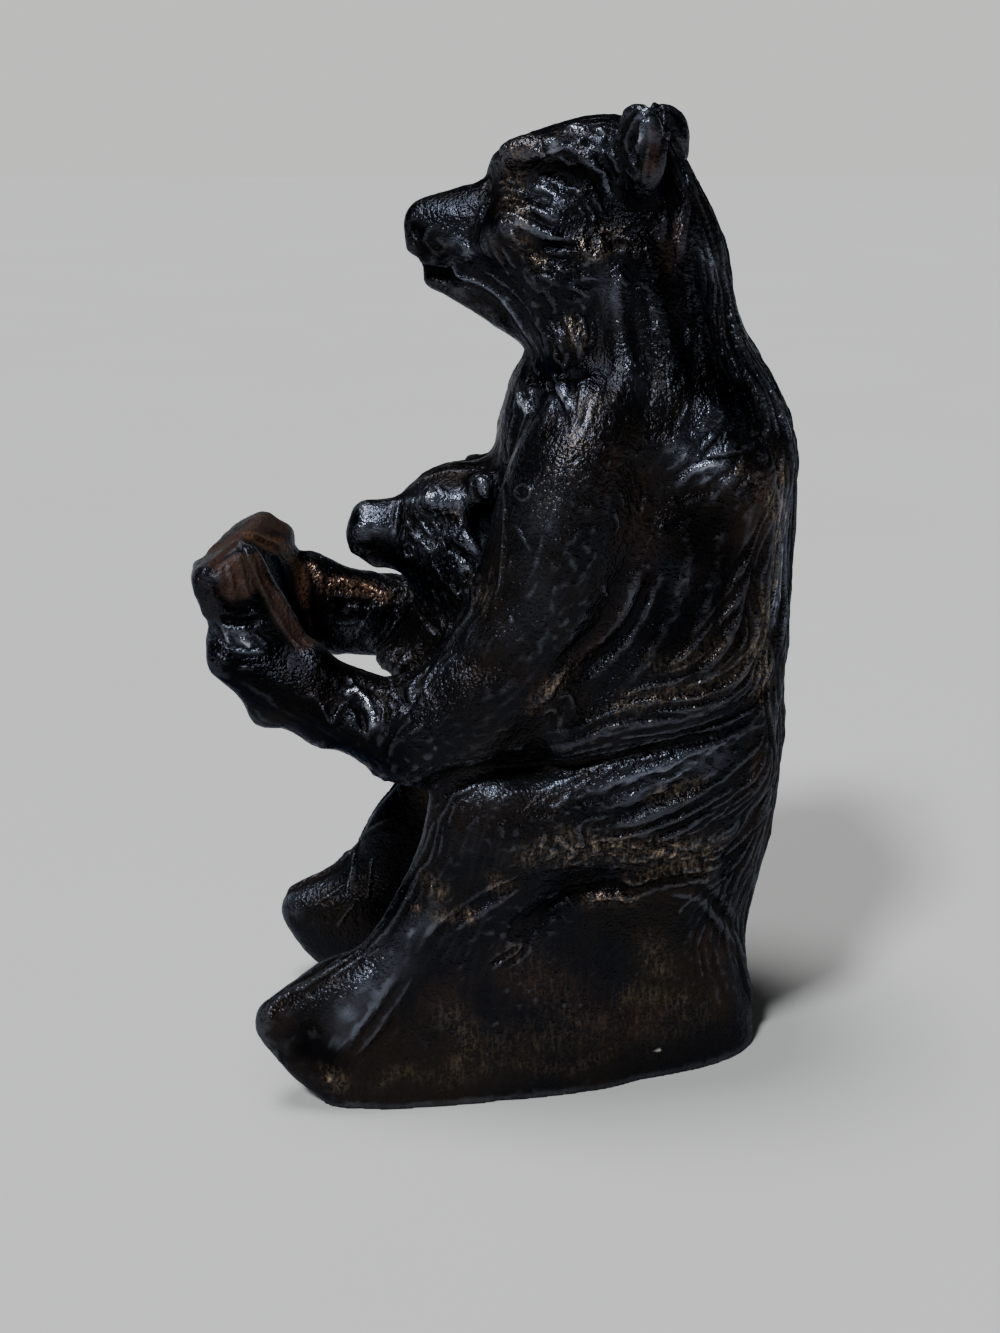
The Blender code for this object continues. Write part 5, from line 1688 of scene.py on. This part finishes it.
class NodeTree:
    """Builds the nodes of a material or of the studio's surroundings."""

    def __init__(self, tree: bpy.types.NodeTree) -> None:
        """Takes up the tree that the nodes are added to."""
        self.nodes = tree.nodes
        self.links = tree.links

    def node(self, kind: str, settings: dict, values: dict) -> bpy.types.Node:
        """Adds any node.

        Args:
            kind: Its type.
            settings: Its own settings, which are set first.
            values: Values or links of its sockets, by name or number.

        Returns:
            The node.
        """
        node = self.nodes.new(kind)
        for name, value in settings.items():
            setattr(node, name, value)
        for name, value in values.items():
            self.feed(node.inputs[name], value)
        return node

    def feed(self, socket: bpy.types.NodeSocket, value: object) -> None:
        """Links a value or a socket to a socket, or sets a plain value on it."""
        if isinstance(value, ShaderValue):
            value = value.socket
        if isinstance(value, bpy.types.NodeSocket):
            self.links.new(value, socket)
        else:
            socket.default_value = value

    def maths(self, operation: str, *values: object, clamp: bool = False) -> ShaderValue:
        """Adds one Math node and returns its result."""
        settings = {"operation": operation, "use_clamp": clamp}
        node = self.node("ShaderNodeMath", settings, dict(enumerate(values)))
        return ShaderValue(self, node.outputs[0])

    def attribute(self, tint: Tint) -> ShaderValue:
        """Reads one of the skin's numbers."""
        node = self.node("ShaderNodeAttribute", {"attribute_name": tint.value}, {})
        return ShaderValue(self, node.outputs["Fac"])

    def place(self, stretch: tuple[float, float, float] = (1, 1, 1)) -> bpy.types.NodeSocket:
        """Object coordinates, stretched along each axis."""
        where = self.node("ShaderNodeTexCoord", {}, {})
        values = {"Vector": where.outputs["Object"], "Scale": stretch}
        return self.node("ShaderNodeMapping", {}, values).outputs["Vector"]

    def noise(
        self, scale: float, detail: float, roughness: float, place: bpy.types.NodeSocket
    ) -> ShaderValue:
        """Cloudy noise of about 1/scale of the coordinates' unit."""
        values = {"Vector": place, "Scale": scale, "Detail": detail, "Roughness": roughness}
        return ShaderValue(self, self.node("ShaderNodeTexNoise", {}, values).outputs["Fac"])

    def hairs(self, across: ShaderValue, width_mm: float, length_mm: float) -> ShaderValue:
        """Fine hairs that run along the fur.

        Args:
            across: Place across the fur in millimetres.
            width_mm: Width of a hair.
            length_mm: Length after which it changes.

        Returns:
            Their height from 0 to 1.
        """
        sideways = self.node("ShaderNodeCombineXYZ", {}, {"X": across * (1.0 / width_mm)})
        stretch = 1000.0 / length_mm
        values = {0: sideways.outputs["Vector"], 1: self.place((stretch, stretch, stretch))}
        summed = self.node("ShaderNodeVectorMath", {"operation": "ADD"}, values)
        return self.noise(1.0, 1.0, 0.5, summed.outputs["Vector"])

    def specks(self, scale: float, place: bpy.types.NodeSocket) -> ShaderValue:
        """Distance from scattered points, for pits and flecks."""
        values = {"Vector": place, "Scale": scale}
        return ShaderValue(self, self.node("ShaderNodeTexVoronoi", {}, values).outputs["Distance"])

    def mix(self, share: ShaderValue, low: object, high: object) -> bpy.types.NodeSocket:
        """Mixes two colours."""
        values = {0: share, 6: low, 7: high}
        return self.node("ShaderNodeMix", {"data_type": "RGBA"}, values).outputs[2]


class SurfaceTree(NodeTree):
    """The nodes of one material."""

    def __init__(self, name: str) -> None:
        """Makes the material of this name."""
        self.material = bpy.data.materials.new(name)
        self.material.use_nodes = True
        super().__init__(self.material.node_tree)
        self.inputs = self.nodes["Principled BSDF"].inputs


@dataclass(frozen=True)
class BronzePatina:
    """Near-black foundry patina: polished swells with painted highlights, painted shade, and bronze
    rubbed through on the fur.

    Attributes:
        black: Cool black of the grooves and the coat.
        brown: Warmer patina in between.
        polish_highlight_blue: Blue-black of the polished swells, which also serves as their painted
            highlight.
        painted_glint: Near-white painted glint on the brightest crests of the polished swells.
        rust: Red-brown of the thin places.
        gold: Bare metal where it is rubbed.
        copper: Pinker bare metal on her right forearm.
        umber: Orange-brown of the book's inner leaf.
        black_patina_and_painted_shade: Deep black of the painted shade in hollows, under the forms and on
            the shaded flank, and of the black nose and book corner.
        book_brown: The book's own worn patina.
        chip_white: A small chip at the foot of the block.
        glint: Tint of the gloss.
        glint_level: Strength of the gloss.
        strand_mm: Width of the hairs that show as strands, and length after which they change.
        thread_mm: The same of the finer hairs on them.
        relief: Strength of the relief.
        relief_m: Height of the relief where its value is 1.
    """

    black: Colour = (0.0072, 0.0077, 0.0103, 1)
    brown: Colour = (0.0175, 0.0125, 0.0094, 1)
    # Blue-black of the polished swells, also the colour of the painted highlights
    polish_highlight_blue: Colour = (0.112, 0.125, 0.165, 1)
    # Near-white painted glint
    painted_glint: Colour = (0.38, 0.40, 0.46, 1)
    rust: Colour = (0.058, 0.026, 0.017, 1)
    gold: Colour = (0.36, 0.265, 0.175, 1)
    copper: Colour = (0.60, 0.33, 0.21, 1)
    umber: Colour = (0.11, 0.055, 0.028, 1)
    # Black of the painted shade, and of the nose and the book's corner
    black_patina_and_painted_shade: Colour = (0.004, 0.004, 0.005, 1)
    book_brown: Colour = (0.042, 0.022, 0.0150, 1)
    chip_white: Colour = (0.6, 0.58, 0.54, 1)
    glint: Colour = (0.45, 0.47, 0.52, 1)
    glint_level: float = 0.3
    strand_mm: tuple[float, float] = (0.85, 9.0)
    thread_mm: tuple[float, float] = (0.36, 5.0)
    relief: float = 0.9
    relief_m: float = 0.00018

    def build(self) -> bpy.types.Material:
        """Builds the material.

        Returns:
            The material.
        """
        tree = SurfaceTree("bronze_patina")

        # What the skin carries, and patterns from coarse to fine
        here = tree.place()
        rise = tree.attribute(Tint.RISE)
        ridge = rise.band(0.25, 1.0)
        groove = (0.0 - rise).band(0.0, 0.8)
        across = tree.attribute(Tint.ACROSS)
        hair = tree.attribute(Tint.HAIR)
        strands = tree.hairs(across, *self.strand_mm)
        threads = tree.hairs(across, *self.thread_mm)
        combed = hair * strands.band(0.52, 0.74)
        cloud = tree.noise(45, 4, 0.6, here)
        cool = tree.noise(110, 4, 0.65, here)
        streak = tree.noise(260, 4, 0.65, tree.place((1.0, 1.0, 0.3)))
        pits = tree.specks(800, here)
        cast = tree.noise(850, 2, 0.6, here)
        scratch = tree.noise(1400, 2, 0.6, tree.place((1.0, 1.0, 0.25)))
        grain = tree.noise(1700, 2, 0.55, here)
        finest = tree.noise(4200, 2, 0.7, here)

        # The patina, the polished swells with their painted highlights and glints, and its red-brown
        # places
        warmth = (cloud.band(0.40, 0.68) * 0.8 + streak.band(0.4, 0.8) * 0.35).limited()
        colour = tree.mix(warmth, self.black, self.brown)
        polish_highlight_mask = tree.attribute(Tint.POLISH_AND_HIGHLIGHT)
        # Polished colour on the ridges and combed fur, painted highlight where the bright dabs lie, and
        # less of it in the grooves, which leaves them dark as painted shade
        polish_highlight_share = polish_highlight_mask * (0.5 + 0.9 * ridge) + 0.28 * ridge + 0.10 * combed + 0.02 * cool.band(0.5, 0.7)
        polish_highlight_share = polish_highlight_share * (0.6 + 0.5 * cool.band(0.35, 0.6)) * (1.0 - 0.8 * groove)
        colour = tree.mix(polish_highlight_share.limited(), colour, self.polish_highlight_blue)
        # Near-white painted glints where the painted highlight is strongest
        colour = tree.mix(polish_highlight_share.band(0.85, 1.8), colour, self.painted_glint)
        rusty = tree.attribute(Tint.RUST) * (0.4 + 0.9 * combed + 0.5 * grain)
        rusty = (rusty * streak.band(0.32, 0.66)).limited()
        colour = tree.mix(rusty, colour, self.rust)

        # The book's leaves
        on_book = tree.attribute(Tint.BOOK).band(0.15, 0.6)
        mottle = cloud.band(0.35, 0.7) * 0.4 + streak.band(0.4, 0.65) * 0.4
        leaf = tree.mix(mottle, self.book_brown, self.rust)
        leaf = tree.mix(tree.attribute(Tint.UMBER).band(0.1, 0.8), leaf, self.umber)
        colour = tree.mix(on_book * (0.45 + 0.5 * grain.band(0.3, 0.6)), colour, leaf)

        # Bare metal, then the painted shade of the hollows and undersides with the black of the nose and
        # the book's corner, and the chip
        hairy = (combed + ridge).limited()
        rubbed = tree.attribute(Tint.GOLD) * (0.45 + 0.75 * hairy) + 0.06 * hairy * ridge
        rubbed = (rubbed * (0.6 * grain.band(0.45, 0.62) + 0.7 * scratch.band(0.5, 0.64))).limited()
        colour = tree.mix(rubbed, colour, self.gold)
        pink = (tree.attribute(Tint.COPPER) * (0.5 + ridge) * grain.band(0.38, 0.58)).limited()
        colour = tree.mix(pink, colour, self.copper)
        # Painted shade and black patina, a little less on the ridges
        blackened = (1.15 * tree.attribute(Tint.BLACK_PATINA_AND_PAINTED_SHADE)).limited()
        colour = tree.mix(blackened * (0.95 - 0.35 * ridge), colour, self.black_patina_and_painted_shade)
        colour = tree.mix(tree.attribute(Tint.CHIP).band(0.3, 0.6), colour, self.chip_white)

        # Gloss and relief
        rough = 0.25 + 0.12 * cloud.band(0.35, 0.7) + 0.20 * groove + 0.22 * on_book - 0.08 * polish_highlight_mask
        rough = (rough + 0.30 * (grain - 0.5)).limited()
        bare = rubbed.larger(pink)
        metal = (0.82 + 0.18 * bare - 0.55 * on_book - 0.30 * rusty + 0.5 * blackened).limited()
        calm = tree.attribute(Tint.SMOOTH)
        height = 0.8 * grain + 0.12 * finest + 0.25 * pits.band(0.0, 0.3)
        height = height + 2.4 * cast * (1.0 - 0.6 * calm) + hair * (1.6 * strands + 0.6 * threads)
        values = {"Strength": self.relief, "Distance": self.relief_m, "Height": height}
        bump = tree.node("ShaderNodeBump", {}, values)

        tree.feed(tree.inputs["Base Color"], colour)
        tree.feed(tree.inputs["Roughness"], rough)
        tree.feed(tree.inputs["Metallic"], metal)
        tree.feed(tree.inputs["Normal"], bump.outputs["Normal"])
        tree.feed(tree.inputs["Specular IOR Level"], self.glint_level)
        tree.feed(tree.inputs["Specular Tint"], self.glint)
        return tree.material


@dataclass
class Casting:
    """The one casting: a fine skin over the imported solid, with its carving and patina.

    Attributes:
        view: The photograph's camera.
        head: How her head is turned.
        node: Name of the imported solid.
        grain_m: Size of the skin's mesh while it is worked.
        regain_m: What the softened skin is raised by, to be as full as the solid.
        triangles: Most triangles of the finished skin.
        foot_m: Height up to which the foot of the casting isn't carved.
        foot_fade_m: Height over it in which the carving fades in.
        flat_m: Height under which the skin is pressed flat.
        full_rise_m: How far a full ridge stands over the surface around it.
        parts: The casting's parts.
    """

    view: Viewpoint
    head: HeadTurn = HeadTurn()
    node: str = "bear_and_cub_casting"
    grain_m: float = 0.40 * MM
    regain_m: float = 0.18 * MM
    triangles: int = 196_000
    foot_m: float = 0.4 * MM
    foot_fade_m: float = 1.8 * MM
    flat_m: float = 0.45 * MM
    full_rise_m: float = 0.16 * MM
    parts: tuple[SubAssembly, ...] = (MothersHead(), MothersBody(), Legs(), Cub(), BookAndPaws())

    def blank(self) -> bpy.types.Mesh:
        """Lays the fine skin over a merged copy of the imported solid.

        Returns:
            The skin's mesh.
        """
        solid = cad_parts[self.node]
        shell = bmesh.new()
        shell.from_mesh(solid.data)
        bmesh.ops.transform(shell, matrix=solid.matrix_world, verts=shell.verts)
        bmesh.ops.remove_doubles(shell, verts=shell.verts, dist=1e-6)
        obj = add_shape("casting_shell", shell)
        round_off = obj.modifiers.new("round off the facets", "SUBSURF")
        round_off.levels = round_off.render_levels = 1
        remesh = obj.modifiers.new("fine skin", "REMESH")
        remesh.mode = "VOXEL"
        remesh.voxel_size = self.grain_m
        soften = obj.modifiers.new("soften", "SMOOTH")
        soften.factor = 0.5
        soften.iterations = 4
        return applied(obj)

    def comb_coat(self, skin: Skin) -> Comb:
        """Cuts the fur, which lies along guide lines on every side.

        Args:
            skin: The surface.

        Returns:
            The comb with its guide lines.
        """
        comb = Comb(skin)
        for part in self.parts:
            comb.add(part.guides, part.twin)
        for path in self.back_guides(skin):
            comb.add_path(Coat.STRAND, path)
        clear = skin.tints[Tint.SMOOTH] * 1.2 + skin.tints[Tint.BOOK] * 2.0
        log.info("coat: %d strokes", comb.comb(np.clip(clear, 0, 1)))
        return comb

    def back_guides(self, skin: Skin) -> list[np.ndarray]:
        """Guide lines down her back, which the photograph doesn't show. Sizes are in millimetres.

        Args:
            skin: The surface.

        Returns:
            Paths on the surface.
        """
        nape, foot, behind = 148, 34, 200
        paths = []
        for aside in (-22, -14, -7, 0, 7, 14, 22):
            heights = np.linspace(nape - abs(aside) * 1.4, foot, 30)
            spread = np.interp(heights, [foot, 90, 150], [0.8, 1.1, 0.5])
            points = []
            for height, share in zip(heights, spread):
                start = Vector((aside * share * MM, behind * MM, height * MM))
                hit = skin.bvh.ray_cast(start, Vector((0, -1, 0)))[0]
                if hit:
                    points.append(hit)
            if len(points) > 3:
                paths.append(skin.along(np.array(points), Comb.GUIDE_STEP))
        return paths

    def roughen(self, skin: Skin) -> None:
        """Gives the skin the uneven surface of a casting.

        Args:
            skin: The surface.
        """
        soft_scale, crisp_scale = 260, 620
        calm = np.clip(skin.tints[Tint.SMOOTH], 0, 1)
        soft = np.empty(len(skin.points))
        crisp = np.empty(len(skin.points))
        for i, point in enumerate(skin.points):
            place = Vector(point)
            soft[i] = noise.noise(place * soft_scale)
            crisp[i] = noise.fractal(place * crisp_scale, 1.0, 2.0, 2)
        rough = (0.09 + 0.24 * skin.tints[Tint.CRUMPLE]) * (1 - 0.6 * calm)
        skin.height += MM * (0.06 * soft + rough * crisp)

    def keep_foot(self, skin: Skin, ground: np.ndarray) -> None:
        """Keeps the underside flat and the foot of the casting at its outline.

        Args:
            skin: The surface.
            ground: Points of the skin before it was carved.
        """
        low = ground[:, 2]
        share = np.clip((low - self.foot_m) / self.foot_fade_m, 0, 1)[:, None]
        skin.points = ground * (1 - share) + skin.points * share
        flat = low < self.flat_m
        skin.points[flat, 2] = np.minimum(skin.points[flat, 2], 0.0)
        skin.points[:, 2] = np.maximum(skin.points[:, 2], 0.0)

    def rises(self, skin: Skin, rounds: int = 14) -> np.ndarray:
        """Finds how far each point stands over the surface around it.

        Args:
            skin: The surface.
            rounds: How widely the surface around is averaged.

        Returns:
            Numbers from -1 in grooves to 1 on ridges.
        """
        one, two = edges_of(skin.mesh)
        degree = neighbour_counts(one, two, len(skin.points))
        average = skin.points.copy()
        for _ in range(rounds):
            average = 0.3 * average + 0.7 * neighbour_sums(average, one, two) / degree[:, None]
        over = np.einsum("ij,ij->i", skin.points - average, skin.normals)
        return np.clip(over / self.full_rise_m, -1, 1)

    def build(self) -> bpy.types.Object:
        """Carves, thins and dresses the skin.

        Returns:
            The finished casting.
        """
        skin = Skin(self.blank(), self.view, self.head)
        log.info("skin: %d points", len(skin.points))
        for part in self.parts:
            for pull in part.pulls:
                skin.pull(pull)
        skin.height += self.regain_m
        skin.settle()
        for part in self.parts:
            part.stuff(skin)
        skin.settle()
        ground = skin.points.copy()
        for part in self.parts:
            part.shape(skin)
            part.colour(skin)
            log.info("shaped: %s", part.name)
        skin.settle()
        comb = self.comb_coat(skin)
        for part in self.parts:
            part.detail(skin)
        self.roughen(skin)
        skin.settle()
        self.keep_foot(skin, ground)
        skin.settle()
        skin.tints[Tint.RISE] = self.rises(skin)
        obj = self.thin(skin)
        across, hair = FurGrain(comb).place(obj.data)
        write_tint(obj.data, Tint.ACROSS, across)
        write_tint(obj.data, Tint.HAIR, hair)
        obj.data.materials.append(BronzePatina().build())
        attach(obj, "root")
        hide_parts(self.node)
        log.info("casting: %d triangles", len(obj.data.loop_triangles))
        return obj

    def thin(self, skin: Skin) -> bpy.types.Object:
        """Keeps the skin's triangles where the carving needs them and carries the tints over.

        Args:
            skin: The worked surface.

        Returns:
            The thinned object.
        """
        obj = add_object("bronze_casting", skin.mesh)
        skin.mesh.calc_loop_triangles()
        fewer = obj.modifiers.new("fewer triangles", "DECIMATE")
        fewer.ratio = min(1.0, self.triangles / len(skin.mesh.loop_triangles))
        mesh = applied(obj)
        tree = tree_of(skin.points)
        nearest = np.array([tree.find(v.co)[1] for v in mesh.vertices])
        for tint, values in skin.tints.items():
            write_tint(mesh, tint, values[nearest])
        mesh.shade_smooth()
        mesh.calc_loop_triangles()
        return add_object("bronze_casting", mesh)


def write_tint(mesh: bpy.types.Mesh, tint: Tint, values: np.ndarray) -> None:
    """Stores one number per point for the patina."""
    layer = mesh.attributes.new(tint.value, "FLOAT", "POINT")
    layer.data.foreach_set("value", values.astype(np.float32))


def applied(obj: bpy.types.Object) -> bpy.types.Mesh:
    """Applies an object's modifiers.

    Args:
        obj: The object, which is removed.

    Returns:
        The mesh with the modifiers' result.
    """
    bpy.context.view_layer.update()
    graph = bpy.context.evaluated_depsgraph_get()
    mesh = bpy.data.meshes.new_from_object(obj.evaluated_get(graph))
    bpy.data.objects.remove(obj)
    return mesh


@dataclass(frozen=True)
class Lamp:
    """One soft light that shines on the casting from a direction.

    Attributes:
        name: Its name.
        place: A point that it shines from, towards the casting.
        spread_deg: How wide it looks from the casting.
        strength: Its strength in watts per square metre.
        colour: Its colour.
    """

    name: str
    place: tuple[float, float, float]
    spread_deg: float
    strength: float
    colour: tuple[float, float, float]

    def build(self) -> None:
        """Adds the lamp."""
        light = bpy.data.lights.new(self.name, "SUN")
        light.angle = math.radians(self.spread_deg)
        light.energy = self.strength
        light.color = self.colour
        holder = add_object(self.name, light)
        holder.location = self.place
        holder.rotation_euler = Vector(self.place).to_track_quat("Z", "Y").to_euler()


@dataclass(frozen=True)
class Studio:
    """A plain pale floor, a pale horizon and a dim room with soft light from above.

    Attributes:
        floor_m: Half size of the floor.
        floor_low: Darker colour of the floor.
        floor_high: Lighter colour of the floor.
        horizon: Brightness at eye level, where the floor ends.
        room: Brightness of the rest of the room.
        lamps: The lamps.
    """

    floor_m: float = 4.0
    floor_low: Colour = (0.69, 0.67, 0.63, 1)
    floor_high: Colour = (0.745, 0.725, 0.69, 1)
    horizon: Colour = (0.775, 0.775, 0.765, 1)
    room: Colour = (0.020, 0.021, 0.024, 1)
    lamps: tuple[Lamp, ...] = (
        Lamp("overhead", (-0.05, -0.22, 1.0), 22.0, 1.9, (0.93, 0.96, 1.0)),
        Lamp("window", (0.60, -0.45, 0.95), 9.0, 2.4, (0.90, 0.95, 1.0)),
    )

    def build(self) -> None:
        """Builds the floor, the room and the lamps."""
        self.floor()
        self.surroundings()
        for lamp in self.lamps:
            lamp.build()
        log.info("studio: floor, room and %d lamps", len(self.lamps))

    def surroundings(self) -> None:
        """Makes the room dim, with a pale band around the horizon."""
        world = bpy.data.worlds.new("studio")
        world.use_nodes = True
        tree = NodeTree(world.node_tree)
        where = tree.node("ShaderNodeTexCoord", {}, {})
        split = tree.node("ShaderNodeSeparateXYZ", {}, {0: where.outputs["Generated"]})
        height = ShaderValue(tree, split.outputs["Z"])
        colour = tree.mix(height.band(0.05, 0.2), self.horizon, self.room)
        tree.feed(tree.nodes["Background"].inputs["Color"], colour)
        bpy.context.scene.world = world

    def floor(self) -> None:
        """Builds the floor, which is a stage and no part of the bookend."""
        sweep = bmesh.new()
        bmesh.ops.create_grid(sweep, x_segments=1, y_segments=1, size=self.floor_m)
        floor = add_shape("floor", sweep)
        tree = SurfaceTree("pale_floor")
        cloud = tree.noise(6, 3, 0.5, tree.place())
        tree.feed(tree.inputs["Base Color"], tree.mix(cloud, self.floor_low, self.floor_high))
        tree.feed(tree.inputs["Roughness"], 0.9)
        floor.data.materials.append(tree.material)


def main() -> None:
    """Builds the bookend and its studio."""
    logging.basicConfig(level=logging.INFO, format="%(name)s %(message)s")
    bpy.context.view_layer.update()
    view = Viewpoint()
    view.place_camera()
    Casting(view).build()
    Studio().build()


if __name__ == "__main__":
    main()
